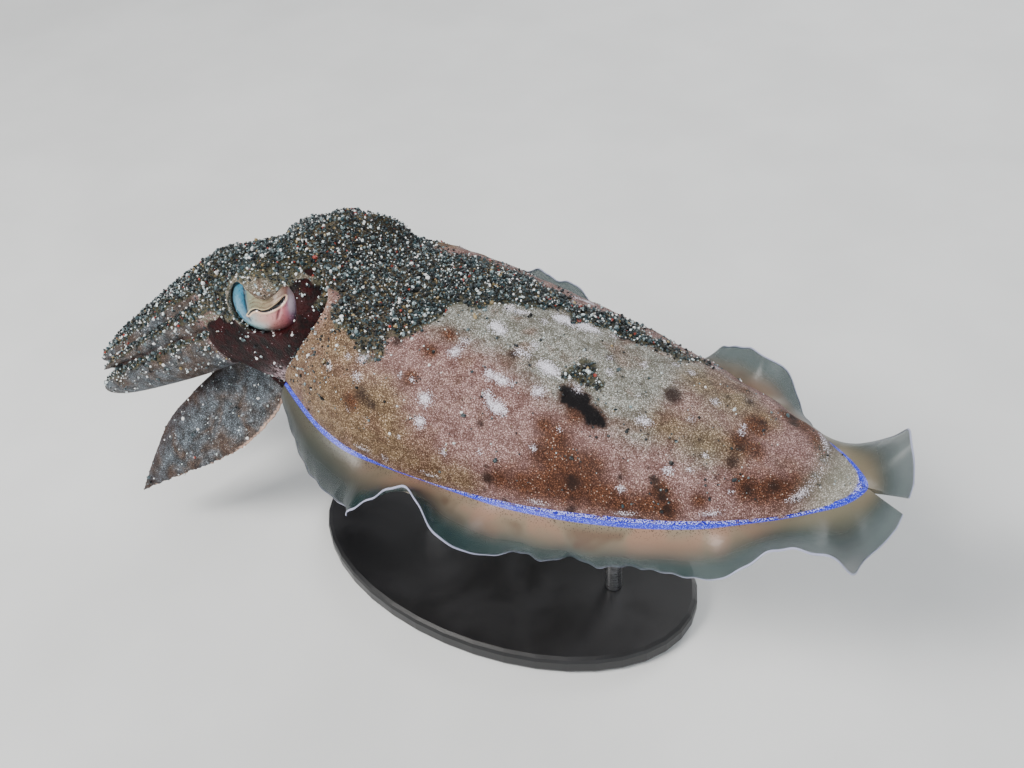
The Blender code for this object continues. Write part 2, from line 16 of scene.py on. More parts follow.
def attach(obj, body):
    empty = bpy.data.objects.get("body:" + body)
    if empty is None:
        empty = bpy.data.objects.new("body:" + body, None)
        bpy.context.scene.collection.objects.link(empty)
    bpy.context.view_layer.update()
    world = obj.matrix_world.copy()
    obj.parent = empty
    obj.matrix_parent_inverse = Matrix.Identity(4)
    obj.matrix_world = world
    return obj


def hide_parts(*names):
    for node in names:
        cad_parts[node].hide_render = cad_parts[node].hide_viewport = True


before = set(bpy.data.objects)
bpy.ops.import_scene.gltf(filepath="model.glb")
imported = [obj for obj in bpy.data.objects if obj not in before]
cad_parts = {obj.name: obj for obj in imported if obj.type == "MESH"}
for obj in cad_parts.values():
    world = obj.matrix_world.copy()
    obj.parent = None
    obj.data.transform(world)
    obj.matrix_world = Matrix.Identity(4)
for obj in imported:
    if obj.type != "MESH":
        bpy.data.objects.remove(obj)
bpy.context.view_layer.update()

MM = 0.001
PLACE = Vector((0.022, 0.0, 0.062))
SIDES = {"left": -1, "right": 1}

# Mantle: its length, the thickness of its front edge, and how far back that edge lies at each angle
MANTLE_LENGTH = 0.120
LIP = 0.0012
MARGIN_KEYS = [
    (-90, 0.006), (-50, 0.004), (-15, 0.001), (0, 0.0),
    (15, 0.0030), (35, 0.0072), (55, 0.0095), (72, 0.0050), (90, -0.0050),
]

# Crown of arms: its line, and its outer and inner radius at each share of its length
CROWN_ROOT = np.array((-0.0835, -0.0046, 0.0012))
CROWN_BEND = np.array((-0.1000, -0.0080, -0.0092))
CROWN_TIP = np.array((-0.1288, -0.0140, -0.0278))
CROWN_OUTER = [(0.0, 0.0144), (0.35, 0.0128), (0.7, 0.0101), (1.0, 0.0077)]
CROWN_INNER = [(0.0, 0.0064), (0.35, 0.0054), (0.7, 0.0040), (1.0, 0.0026)]
# Each held arm: middle and half spread round the crown at its root and at its tip, length, bluntness
HELD_ARMS = {1: (22, 22, 22, 22, 0.96, 7), 2: (58.5, 52, 14.5, 8, 0.96, 8), 3: (98, 104, 25, 43, 1.01, 9)}
ARM_ROUNDNESS = [(0.0, 4.4), (0.3, 3.4), (1.1, 2.8)]

# Head: centre, way forward, half width, rise and depth, from inside the mantle to the crown
HEAD_KEYS = [
    (0.00, (-0.0430, 0.0000, 0.0020, -1.00, 0.00, 0.00, 0.0155, 0.0130, 0.0115)),
    (0.26, (-0.0540, 0.0000, 0.0025, -1.00, 0.00, 0.00, 0.0180, 0.0158, 0.0132)),
    (0.52, (-0.0650, -0.0010, 0.0028, -0.99, -0.07, -0.08, 0.0172, 0.0172, 0.0152)),
    (0.78, (-0.0755, -0.0028, 0.0022, -0.96, -0.13, -0.20, 0.0154, 0.0154, 0.0154)),
    (1.00, (-0.0835, -0.0046, 0.0012, -0.84, -0.17, -0.52, 0.0143, 0.0143, 0.0143)),
]
# Squareness of the head's sections, low swellings on it as (top, height, spread), and where they fade
HEAD_ROUNDNESS = [(0.0, 2.3), (0.5, 2.3), (0.8, 2.1), (1.0, 2.0)]
BROWS = [
    ((-0.0630, -0.0115, 0.0180), 0.0036, (0.0110, 0.0085, 0.0085)),
    ((-0.0545, -0.0125, 0.0180), 0.0020, (0.0080, 0.0090, 0.0090)),
    ((-0.0610, 0.0110, 0.0175), 0.0064, (0.0098, 0.0110, 0.0100)),
]
NAPE = (-0.0440, -0.0520)

# Eyes. Places on an eye are (across, up) in millimetres, across running back along the head. The
# opening is the outline between the lids, and each point of the pupil has half its width as well
EYE_CENTRE = Vector((-0.0684, 0.0105, 0.0136))
EYE_RADII = Vector((0.0078, 0.0086, 0.0080))
EYE_YAW = math.radians(24)
EYE_RISE = math.radians(20)
LID = 0.0014
LID_HEIGHT = 0.0048
FAR_EYE_SHIFT = Vector((-0.0010, -0.0018, -0.0026))
EYE_OPENING = [
    (7.6, 0.5), (7.1, 3.3), (5.8, 4.5), (4.7, 4.1), (3.5, 2.8), (1.9, 1.7), (0.2, 1.5), (-1.1, 2.1),
    (-2.5, 3.1), (-4.4, 4.3), (-6.0, 4.7), (-7.8, 3.2), (-8.7, 0.4), (-8.3, -3.2), (-6.0, -6.1),
    (-2.0, -6.9), (1.8, -6.4), (4.6, -5.7), (6.9, -3.3),
]
PUPIL = [
    (-3.6, -2.3, 0.10), (-2.4, -1.2, 0.19), (-1.2, -0.85, 0.22), (-0.1, -1.2, 0.23), (1.2, -1.08, 0.29),
    (2.5, -0.48, 0.38), (3.7, 0.27, 0.42), (4.4, 1.04, 0.34), (4.8, 1.7, 0.12),
]

# Lowest arms, broad hanging blades: share of length, upper edge, lower edge, thickness
BLADE_KEYS = [
    (0.00, (-0.0840, -0.0070, -0.0050, -0.0700, -0.0075, -0.0070, 0.0050)),
    (0.20, (-0.0935, -0.0085, -0.0165, -0.0715, -0.0115, -0.0165, 0.0048)),
    (0.40, (-0.1010, -0.0130, -0.0245, -0.0742, -0.0160, -0.0222, 0.0040)),
    (0.60, (-0.1054, -0.0200, -0.0305, -0.0790, -0.0220, -0.0275, 0.0033)),
    (0.80, (-0.1080, -0.0260, -0.0386, -0.0880, -0.0265, -0.0335, 0.0025)),
    (0.92, (-0.1105, -0.0290, -0.0453, -0.0990, -0.0287, -0.0405, 0.0018)),
    (1.00, (-0.1131, -0.0300, -0.0505, -0.1122, -0.0300, -0.0500, 0.0010)),
]
FAR_BLADE_SPREAD = 0.8

# Suckers: rows and cups in a row on each arm, and a cup's radius at the arm's root and tip
SUCKER_ROWS = 4
SUCKERS_IN_ROW = 26
SUCKER_RADII = (0.00062, 0.00022)

# Fins: width, and lift in degrees, along the body from the front
FIN_WIDTHS = [
    (0.0, 0.0060), (0.06, 0.0090), (0.12, 0.0118), (0.2, 0.0122), (0.35, 0.0108), (0.6, 0.0110),
    (0.8, 0.0100), (0.88, 0.0100), (0.93, 0.0112), (0.97, 0.0128), (1.0, 0.0078),
]
FIN_LIFTS = {
    "left": [
        (0.0, -68), (0.06, -58), (0.15, -58), (0.2, -48), (0.25, -4), (0.3, 26), (0.35, 32),
        (0.40, 0), (0.46, -55), (0.55, -72), (0.7, -70), (0.78, -56), (0.84, -4), (0.89, 20),
        (0.94, 2), (0.97, -38), (0.985, -38), (1.0, -4),
    ],
    "right": [
        (0.0, -60), (0.1, -45), (0.2, -5), (0.3, 12), (0.4, -15), (0.5, -45), (0.6, -22),
        (0.65, 8), (0.7, 30), (0.75, 28), (0.8, -12), (0.85, -42), (0.9, -38), (0.94, -8),
        (0.97, 24), (0.985, 30), (1.0, -4),
    ],
}
FIN_ROOT_HALF = 0.0007
FIN_EDGE_HALF = 0.00025

# Siphon, from inside the mantle to its open end
SIPHON_ROOT = np.array((-0.0520, 0.0, -0.0090))
SIPHON_TIP = np.array((-0.0715, 0.0, -0.0175))

# Fine skin over head and arms: size of its cells and rounds of smoothing
SKIN_CELL = 0.00060
SKIN_SMOOTHING = 5

# Sand: middle and limits of a grain's radius in millimetres, and how high grains heap
COARSE_GRAIN = 0.25
FINE_GRAIN = 0.14
GRAIN_LIMITS = (0.12, 0.52)
FINE_LIMIT = 0.20
HEAP_HEIGHT = 0.55
# Each mesh of sand: name, what it lies on, grains, seed, share of white where sand is thin, fine or not
SAND_MESHES = [
    ("sand_on_head", "head", 8800, 31, 0.4, False),
    ("sand_on_back", "mantle", 8500, 32, 0.1, False),
    ("fine_sand_on_head", "head", 9600, 33, 0.2, True),
    ("fine_sand_on_back", "mantle", 9600, 34, 0.1, True),
]

# Camera, fitted to the photo
CAMERA_PLACE = (0.1019, -0.1524, 0.2200)
CAMERA_TARGET = (0.0087, -0.0036, 0.0644)
CAMERA_ROLL = math.radians(-5.075)
CAMERA_LENS = 39.40


# Curves and forms


def through(keys, u):
    """Values at u on a smooth curve through (place, value) keys."""
    places = np.array([key[0] for key in keys], float)
    values = np.array([key[1] for key in keys], float)
    u = np.clip(np.asarray(u, float), places[0], places[-1])
    last = len(places) - 1
    after = np.minimum(np.arange(last + 1) + 1, last)
    before = np.maximum(np.arange(last + 1) - 1, 0)
    run = places[after] - places[before]
    i = np.clip(np.searchsorted(places, u, side="right") - 1, 0, last - 1)
    span = places[i + 1] - places[i]
    t = (u - places[i]) / span
    if values.ndim > 1:
        run, span, t = run[:, None], span[..., None], t[..., None]
    slopes = (values[after] - values[before]) / run
    return (
        values[i] * (2 * t**3 - 3 * t**2 + 1)
        + slopes[i] * span * (t**3 - 2 * t**2 + t)
        + values[i + 1] * (3 * t**2 - 2 * t**3)
        + slopes[i + 1] * span * (t**3 - t**2)
    )


def step(low, high, x):
    """0 below low and 1 above high, with a smooth rise between."""
    t = np.clip((x - low) / (high - low), 0, 1)
    return t * t * (3 - 2 * t)


def unit(v):
    return v / np.linalg.norm(v, axis=-1, keepdims=True)


def rounded(angle, roundness):
    """(cosine, sine) on a superellipse: 2 is an ellipse, and more is squarer."""
    c, s = np.cos(angle), np.sin(angle)
    power = 2 / roundness
    return np.sign(c) * np.abs(c) ** power, np.sign(s) * np.abs(s) ** power


def upright_frame(way):
    way = unit(way)
    up = unit(np.array((0, 0, 1.0)) - way * way[..., 2:3])
    return up, np.cross(up, way)


def ripple(points, wavelength, seed, waves=14):
    """A smooth random field over points, about -1 to 1."""
    dice = np.random.default_rng(seed)
    total = np.zeros(len(points))
    for _ in range(waves):
        way = unit(dice.normal(size=3)) * (2 * math.pi / wavelength) * dice.uniform(0.7, 1.4)
        total += np.sin(points @ way + dice.uniform(0, 2 * math.pi))
    return total / math.sqrt(waves)


def blobs(points, centres, radius, soft=0.5):
    """1 near any of the centres, (x, y, z) or (x, y, z, size) in millimetres, and 0 past the radius."""
    best = np.zeros(len(points))
    for centre in centres:
        size = radius * (centre[3] if len(centre) > 3 else 1)
        away = np.linalg.norm(points - np.array(centre[:3]) * MM, axis=1)
        best = np.maximum(best, 1 - step(size * (1 - soft), size, away))
    return best


def haze(points, centres, radius):
    """A soft cover over all the centres, (x, y, z, size) in millimetres, that runs together."""
    clear = np.ones(len(points))
    for x, y, z, size in centres:
        away = ((points - np.array((x, y, z)) * MM) ** 2).sum(1) / (radius * size) ** 2
        clear *= 1 - 0.8 * np.exp(-away)
    return 1 - clear


# Mesh work


def select_only(*pieces):
    bpy.ops.object.select_all(action="DESELECT")
    for piece in pieces:
        piece.select_set(True)
    bpy.context.view_layer.objects.active = pieces[0]


def wrapped(name, rings):
    """A grid laid over rings of points, closed round each ring and drawn together at both ends."""
    first = np.repeat(rings[:1].mean(1, keepdims=True), rings.shape[1], 1)
    last = np.repeat(rings[-1:].mean(1, keepdims=True), rings.shape[1], 1)
    full = np.concatenate([first, rings, last])
    full = np.concatenate([full, full[:, :1]], 1)
    return laid(name, full, weld=True)


def laid(name, full, weld=False):
    """A grid primitive whose points take the places in an array of rows and columns."""
    rows, columns = full.shape[:2]
    bpy.ops.mesh.primitive_grid_add(x_subdivisions=columns - 1, y_subdivisions=rows - 1, size=2)
    piece = bpy.context.object
    piece.name = name
    flat = points_of(piece)
    column = np.rint((flat[:, 0] + 1) / 2 * (columns - 1)).astype(int)
    row = np.rint((flat[:, 1] + 1) / 2 * (rows - 1)).astype(int)
    put_points(piece, full[row, column])
    if weld:
        bpy.ops.object.mode_set(mode="EDIT")
        bpy.ops.mesh.select_all(action="SELECT")
        bpy.ops.mesh.remove_doubles(threshold=2e-6)
        bpy.ops.mesh.normals_make_consistent(inside=False)
        bpy.ops.object.mode_set(mode="OBJECT")
    return piece


def points_of(piece):
    co = np.empty(len(piece.data.vertices) * 3, np.float32)
    piece.data.vertices.foreach_get("co", co)
    return co.reshape(-1, 3).astype(float)


def normals_of(piece):
    co = np.empty(len(piece.data.vertices) * 3, np.float32)
    piece.data.vertices.foreach_get("normal", co)
    return co.reshape(-1, 3).astype(float)


def put_points(piece, points):
    piece.data.vertices.foreach_set("co", np.asarray(points, np.float32).ravel())
    piece.data.update()


def ball(name, matrix, columns, rows):
    bpy.ops.mesh.primitive_uv_sphere_add(segments=columns, ring_count=rows, radius=1)
    piece = bpy.context.object
    piece.name = name
    piece.data.transform(matrix)
    piece.data.update()
    return piece


def apply_modifier(piece, kind, **settings):
    select_only(piece)
    bpy.ops.object.modifier_add(type=kind)
    modifier = piece.modifiers[-1]
    for key, value in settings.items():
        setattr(modifier, key, value)
    bpy.ops.object.modifier_apply(modifier=modifier.name)


def fuse(base, other, operation):
    apply_modifier(base, "BOOLEAN", object=other, operation=operation, solver="EXACT")
    bpy.data.objects.remove(other)


def joined(name, pieces):
    select_only(*pieces)
    bpy.ops.object.join()
    pieces[0].name = name
    pieces[0].data.name = name
    return pieces[0]


def paint(piece, **fields):
    """Stores fields on a mesh's points, for its material to read."""
    for name, values in fields.items():
        values = np.asarray(values, np.float32)
        if values.ndim == 1:
            layer = piece.data.attributes.new(name, "FLOAT", "POINT")
            layer.data.foreach_set("value", values)
        else:
            layer = piece.data.attributes.new(name, "FLOAT_COLOR", "POINT")
            layer.data.foreach_set("color", values.ravel())


def hand_over(piece, material, nodes=(), smooth=True):
    """Gives a finished piece its place over the stand, material, slot and the nodes it replaces."""
    piece.data.transform(Matrix.Translation(PLACE))
    piece.data.materials.clear()
    piece.data.materials.append(material)
    select_only(piece)
    if smooth:
        bpy.ops.object.shade_smooth()
    else:
        bpy.ops.object.shade_flat()
    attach(piece, "root")
    if nodes:
        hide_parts(*nodes)


# Mantle


def tapered_oval(u, front, widest, tail):
    near = front + (1 - front) * np.sin(np.minimum(u / widest, 1) * math.pi / 2)
    t = np.clip((u - widest) / (1 - widest), 0, 1)
    return np.where(u < widest, near, (1 - t * t) ** tail)


def half_width(u):
    return 0.247 * MANTLE_LENGTH * tapered_oval(u, 0.706, 0.204, 0.64)


def rise(u):
    return 0.204 * MANTLE_LENGTH * tapered_oval(u, 0.895, 0.193, 1.06)


def depth(u):
    return 0.150 * MANTLE_LENGTH * tapered_oval(u, 0.86, 0.30, 0.95)


def fin_line_height(u):
    return -0.056 * MANTLE_LENGTH * 4 * u * (1 - u) - 0.008 * MANTLE_LENGTH * (1 - u) ** 2


def along(u):
    return MANTLE_LENGTH * (u - 0.5)


def mantle_points(u, angle, grow=0.0):
    """Points of the mantle. Angle 0 is the right fin line, 90 degrees the back."""
    c, s = rounded(angle, 2.3)
    fade = np.clip(1 - u / 0.22, 0, 1) ** 2
    collar = 0.0060 * np.exp(-(u / 0.055) ** 2) * np.exp(-((angle - 1.10) / 0.45) ** 2)
    height = np.where(s > 0, rise(u) + 0.0016 * fade**2 + collar, depth(u))
    back = through(MARGIN_KEYS, np.degrees(np.arcsin(np.clip(np.sin(angle), -1, 1))))
    return np.stack([
        along(u) + back * fade,
        c * (half_width(u) + grow),
        fin_line_height(u) + s * (height + grow),
    ], -1)


# Marks of the mantle's left side: x, y and z in millimetres, and size
BLOTCH = [
    (2.7, -10.1, 12.4, 1.0), (4.2, -10.5, 11.9, 1.2), (5.9, -10.9, 11.5, 1.3), (5.3, -12.4, 11.3, 1.0),
    (7.7, -11.9, 10.8, 1.2), (9.4, -12.1, 10.3, 1.3), (11.2, -12.7, 9.7, 1.1), (12.3, -13.2, 9.2, 0.7),
    (9.8, -13.7, 9.7, 1.0), (7.0, -9.6, 11.5, 0.9), (3.4, -12.4, 11.6, 0.7),
]
DARK_SPOTS = [
    (-35.1, -25.6, 9.8, 1.7), (-32.1, -15.2, 16.5, 1.5), (-9.7, -8.0, 15.1, 1.1), (-9.7, -22.3, 8.6, 0.9),
    (-6.1, -27.0, -0.5, 1.5), (10.4, -22.9, 1.9, 1.6), (10.8, -24.9, -4.4, 1.2), (36.5, -8.1, 4.8, 1.5),
    (36.7, -4.5, 5.4, 1.0), (21.1, 0.5, 9.4, 1.6), (24.9, -17.3, 3.6, 0.9), (26.9, -18.6, 1.7, 1.1),
    (28.5, -19.5, -0.8, 1.0), (45.0, -8.5, 2.5, 1.4), (40.9, -11.2, 2.3, 1.2), (-37.1, -4.9, 19.4, 1.2),
    (51.0, 2.2, 2.2, 1.0), (-32.5, -26.2, 8.1, 1.2), (6.8, 1.8, 12.4, 1.0), (29.5, -6.8, 6.6, 0.7),
    (23.8, -21.6, -3.8, 0.9), (-2.5, -27.3, -4.9, 0.9), (18.7, -19.5, 3.5, 0.8),
]
GOLD = [
    (-49.7, -25.6, 2.4, 1.5), (-43.2, -25.5, 8.9, 1.3), (-43.1, -28.3, 0.2, 1.6),
    (-36.1, -27.5, 6.4, 1.8), (-31.1, -25.2, 9.2, 1.4), (-34.8, -29.3, 0.1, 1.5),
    (-26.6, -28.8, 0.2, 1.5), (-18.5, -28.9, -1.9, 1.4), (-10.9, -28.1, -2.7, 1.1),
    (-48.2, -24.0, 8.6, 1.0), (-30.2, -27.7, 4.7, 1.2), (23.8, 7.4, 8.2, 1.3), (31.5, 6.5, 6.5, 1.4),
    (38.2, 5.3, 4.9, 1.0), (-46.3, -17.3, 16.2, 1.4), (-42.0, -20.3, 14.6, 1.2),
    (-52.0, -17.5, 14.0, 0.9), (-54.5, -20.0, 9.5, 1.0), (-57.0, -21.5, 5.0, 1.0),
    (-59.0, -21.5, 0.5, 0.9),
]
OLIVE = [
    (-21.1, -0.9, 17.6, 1.6), (-14.6, -0.1, 16.6, 1.8), (-8.9, 4.1, 15.4, 1.7), (-1.1, 4.3, 13.8, 1.8),
    (5.9, 6.0, 12.3, 1.8), (-2.4, -2.0, 14.2, 1.5), (6.6, -2.4, 12.5, 1.3), (13.5, 6.2, 10.8, 1.6),
    (-28.3, -4.9, 18.2, 1.5),
    (14.6, -1.2, 10.6, 1.1), (20.9, 9.4, 8.3, 1.4), (30.1, 7.5, 6.5, 1.4),
]
RUST = [
    (-3.7, -26.5, 0.1, 1.2), (1.5, -25.8, -0.2, 1.4), (6.3, -24.5, 0.7, 1.5), (11.1, -23.5, 0.5, 1.6),
    (15.9, -22.5, 0.4, 1.5), (20.2, -22.0, -0.9, 1.2), (7.3, -21.8, 5.0, 1.3), (12.8, -20.2, 5.0, 1.2),
    (3.1, -21.9, 6.0, 1.0), (2.2, -17.9, 9.3, 0.9), (5.9, -19.0, 7.7, 1.0), (6.8, -14.0, 10.4, 0.9),
    (40.3, -11.2, 2.5, 1.2), (43.9, -10.1, 2.0, 1.3), (47.7, -7.3, 2.1, 1.3), (51.0, -4.5, 2.0, 1.2),
    (53.4, -1.0, 1.3, 0.8), (39.2, -3.2, 4.8, 1.0), (36.0, -2.7, 5.7, 0.9), (26.3, -18.2, 2.3, 0.9),
    (28.5, -19.5, -0.8, 1.1), (-37.5, -26.8, 8.0, 0.9), (-26.4, -20.5, 13.0, 0.8),
    (-25.1, -14.4, 15.9, 0.8), (-23.2, -9.6, 16.9, 0.8), (24.3, -20.6, -0.4, 1.0),
    (33.6, -16.5, 1.3, 0.8),
]
WHITE = [
    (-16.1, -3.3, 16.8, 1.5), (-14.1, -4.0, 16.5, 0.9), (-6.8, 6.7, 14.7, 1.2), (-4.1, 7.2, 14.1, 1.6),
    (-1.2, 7.4, 13.6, 1.5), (1.1, 7.8, 13.0, 0.9), (-37.0, -20.1, 14.4, 1.1), (-38.0, -20.9, 13.9, 0.8),
    (-44.5, -23.2, 11.7, 0.8), (-37.2, -23.7, 11.9, 1.0), (-40.8, -21.0, 14.0, 0.6),
    (-20.3, -13.0, 15.8, 1.1), (-19.6, -9.4, 16.4, 0.9), (-19.9, -11.4, 16.2, 0.7),
    (-11.7, -14.0, 13.8, 1.1), (-8.8, -14.0, 13.4, 1.1), (-6.8, -13.7, 13.1, 0.6),
    (-1.2, -12.7, 12.5, 1.2), (-7.2, -3.5, 15.1, 1.0), (-21.9, -22.3, 10.5, 1.5),
    (-21.7, -25.5, 7.1, 1.1), (-7.9, -18.8, 10.8, 1.4), (-6.1, -19.0, 10.4, 0.8),
    (-10.3, -17.6, 12.1, 1.0), (-37.6, -27.6, 5.9, 0.4), (-15.7, -27.2, 2.8, 0.8),
    (-8.5, -25.3, 4.1, 0.6), (1.6, -21.9, 6.4, 0.8), (-29.1, -29.4, -2.6, 0.7), (19.4, -8.7, 8.9, 1.2),
    (26.5, -15.1, 4.9, 1.0), (19.4, -20.6, 1.8, 0.8), (28.7, 3.5, 7.5, 0.9), (38.3, -13.0, 2.3, 0.5),
    (5.3, -17.6, 8.9, 0.5), (31.7, -9.2, 5.7, 0.6), (30.2, -13.3, 4.8, 0.6), (8.4, -1.7, 12.0, 0.9),
    (4.8, -8.7, 12.0, 1.0), (35.8, -0.9, 5.8, 0.7), (13.3, 4.1, 11.1, 0.8), (-28.6, -20.7, 13.1, 0.6),
    (-25.8, -20.7, 12.8, 0.6), (-26.0, -27.9, 3.3, 0.5),
]
GLEAMS = [
    (-7.1, 6.4, 14.8, 1.0), (-5.5, 6.9, 14.4, 1.1), (-3.9, 7.3, 14.1, 1.2), (-2.0, 7.6, 13.7, 1.1),
    (0.0, 7.7, 13.3, 0.9), (-16.6, -3.2, 16.9, 1.0), (-14.9, -3.8, 16.6, 0.9),
    (-20.3, -12.8, 15.8, 0.9), (-12.4, -13.6, 14.0, 0.7), (-10.2, -13.8, 13.7, 0.8),
    (-8.5, -13.9, 13.4, 0.8), (-2.0, -13.2, 12.4, 0.9), (-22.3, -22.3, 10.6, 0.9),
    (-22.0, -25.4, 7.2, 0.8), (-9.4, -18.6, 11.4, 0.8), (-7.7, -18.8, 10.9, 1.0),
    (18.1, -9.0, 9.2, 0.8),
]
STREAKS = [
    (9.9, -22.6, 2.5, 0.5), (10.5, -23.5, 0.8, 0.6), (10.7, -24.1, -1.2, 0.6), (11.2, -24.7, -3.3, 0.5),
    (23.0, -16.3, 5.0, 0.4), (24.2, -17.3, 3.8, 0.5), (25.6, -18.2, 2.6, 0.5), (27.0, -18.9, 1.2, 0.5),
    (28.1, -19.5, -0.5, 0.5), (29.1, -19.8, -2.0, 0.4), (-6.6, -26.2, 1.9, 0.5), (-6.3, -27.0, -0.6, 0.6),
    (-6.5, -27.7, -3.4, 0.5), (1.9, -17.2, 9.8, 0.4), (2.2, -14.7, 11.0, 0.4), (1.3, -19.6, 8.5, 0.4),
    (14.5, -1.0, 10.6, 0.5), (11.9, 1.5, 11.3, 0.5), (9.5, 4.5, 11.8, 0.5), (7.0, 7.0, 11.9, 0.4),
    (30.7, -9.7, 5.8, 0.5), (32.7, -11.6, 4.9, 0.5), (35.0, -12.3, 3.9, 0.5),
]
HEAPS = [
    (2.5, -5.6, 13.1, 1.0), (4.3, -5.8, 12.6, 1.2), (4.7, -3.1, 12.9, 1.0), (7.7, -5.6, 11.8, 0.9),
    (6.3, -5.4, 12.2, 1.0), (3.5, -2.8, 13.2, 0.8), (1.6, -7.3, 13.1, 0.7),
]
# How far down the left side the sand reaches along the mantle: (x, reach) in millimetres
SAND_REACH = [
    (-60, 14), (-47, 15), (-41, 19), (-35, 18), (-30, 13), (-27, 4), (-19, -3), (-8, -8), (2, -8),
    (10, -9), (18, -11), (26, -13),
]
# Half the width of the blue line along the body, in millimetres
LINE_HALF = [
    (0.0, 0.0), (0.02, 0.12), (0.06, 0.40), (0.14, 0.64), (0.20, 0.56), (0.25, 0.32), (0.34, 0.42),
    (0.48, 0.74), (0.62, 1.05), (0.72, 0.95), (0.82, 0.74), (0.92, 0.56), (0.97, 0.38), (1.0, 0.2),
]
# Papillae: places along the body beside the fins, and single ones on the back
RIDGE_PAPILLAE = [0.215, 0.345, 0.535, 0.675, 0.80, 0.915]
SPIKES = [(32.0, 11.6, 5.2, 1.0), (57.6, -1.0, 1.2, 0.8), (-2.0, 3.0, 14.0, 0.5), (26.0, -3.0, 8.0, 0.4)]


def on_both_sides(places):
    """Marks, and others like them on the animal's other side, moved a little."""
    far = [(x + 2.5 * math.sin(3.1 * x + y), -y, z, size * 0.9) for x, y, z, size in places]
    return list(places) + far


def mantle_skin():
    """The mantle with a rounded front edge that turns in to a pocket round the head."""
    dorsal = np.linspace(0, math.pi, 125)[:-1]
    ventral = np.linspace(math.pi, 2 * math.pi, 53)[:-1]
    angles = np.concatenate([dorsal, ventral])
    rings = [mantle_points(np.full(angles.shape, u), angles, -LIP) for u in (0.12, 0.08, 0.05, 0.02)]
    for turn in np.linspace(math.pi, 0, 9):
        ring = mantle_points(np.zeros(angles.shape), angles, -LIP * (1 - math.cos(turn)) / 2)
        ring[:, 0] -= LIP / 2 * math.sin(turn)
        rings.append(ring)
    for t in np.linspace(0, 1, 161)[1:-1]:
        u = 0.5 * t + 0.5 * math.sin(math.pi / 2 * t)
        rings.append(mantle_points(np.full(angles.shape, u), angles))
    piece = wrapped("mantle_skin", np.array(rings))
    points, normals = points_of(piece), normals_of(piece)
    u = points[:, 0] / MANTLE_LENGTH + 0.5
    back = step(-0.2, 0.5, normals[:, 2])
    lift = back * (0.00016 * ripple(points, 0.011, 3) + 0.00008 * ripple(points, 0.0035, 4))
    lift += 0.0009 * blobs(points, SPIKES, 1.5 * MM, 1.0)
    papilla = ridge_papillae(points, u)
    lift += 0.0005 * papilla
    put_points(piece, points + normals * lift[:, None])
    paint_mantle(piece, points, normals, papilla)
    return piece


def paint_mantle(piece, points, normals, papilla):
    """Paints where the mantle's marks, blue line, pale rim and sand lie."""
    u = points[:, 0] / MANTLE_LENGTH + 0.5
    height = (points[:, 2] - fin_line_height(np.clip(u, 0, 1))) / MM
    rim = 1 - step(0.0, 0.0016, points[:, 0] - front_edge(points))
    nothing = np.zeros(len(points))
    # Positive on the outside and negative in the pocket, where there is no blue line
    outward = normals[:, 1] * points[:, 1] + normals[:, 2] * (points[:, 2] + 0.004)
    paint(
        piece,
        line=np.where(u < 0.995, height, 3.0),
        half=through(LINE_HALF, u) * (outward > 0),
        dark=haze(points, on_both_sides(BLOTCH), 1.35 * MM),
        spot=haze(points, on_both_sides(DARK_SPOTS + STREAKS), 1.25 * MM),
        gold=haze(points, on_both_sides(GOLD), 4.2 * MM),
        rust=haze(points, on_both_sides(RUST), 2.7 * MM),
        pale=np.maximum(haze(points, on_both_sides(WHITE + GLEAMS), 1.1 * MM), 0.7 * papilla),
        cream=step(0.047, 0.056, points[:, 0]),
        rim=rim * (0.15 + 0.85 * step(0.013, 0.017, points[:, 2])),
        olive=haze(points, on_both_sides(OLIVE), 4.6 * MM),
        wine=nothing, arm=nothing, groove=nothing, edge=nothing,
        sand=mantle_sand(points, normals),
    )


def front_edge(points):
    """Where the mantle's front edge lies along the body, at each point's angle."""
    angle = np.arctan2(points[:, 2] - fin_line_height(0.0), np.abs(points[:, 1]))
    return along(0.0) + through(MARGIN_KEYS, np.degrees(angle))


def ridge_papillae(points, u):
    """Low long papillae in a row beside each fin."""
    height = points[:, 2] - fin_line_height(np.clip(u, 0, 1))
    best = np.zeros(len(points))
    for place in RIDGE_PAPILLAE:
        away = ((u - place) * MANTLE_LENGTH / 0.0021) ** 2 + ((height - 0.0034) / 0.0006) ** 2
        best = np.maximum(best, np.exp(-away))
    return best


def mantle_sand(points, normals):
    """How thickly sand lies on the mantle, 0 to 1."""
    x, y = points[:, 0] / MM, points[:, 1] / MM
    reach = np.interp(x, *np.array(SAND_REACH, float).T)
    wander = 2.2 * ripple(points, 0.014, 11) + 1.2 * ripple(points, 0.005, 12)
    near = step(-1.5, 1.5, y + reach + wander)
    far = 1 - step(13, 20, y + wander)
    along_back = 1 - step(12, 27, x + 2 * wander)
    heaps = blobs(points, HEAPS, 1.9 * MM, 0.6)
    bare = step(0.0006, 0.0042, points[:, 0] - front_edge(points) + 0.0004 * wander)
    strip = step(-9.0, -11.0, y) * step(-17.0, -15.5, y)
    near = near * (1 - strip * (1 - bare))
    stray = 0.045 * step(-0.2, 0.9, ripple(points, 0.006, 13)) + 0.09 * step(-40, -47, x) * step(-30, -24, y)
    cover = np.maximum(np.maximum(near * far * along_back, heaps), stray)
    return cover * step(0.05, 0.45, normals[:, 2])


# Head and arms


def brow_lift(points):
    lift = np.zeros(len(points))
    for top, height, spread in BROWS:
        away = (points - np.array(top)) / np.array(spread)
        lift += height * np.exp(-(away**2).sum(1))
    return lift * step(0, 1, (points[:, 0] - NAPE[0]) / (NAPE[1] - NAPE[0]))


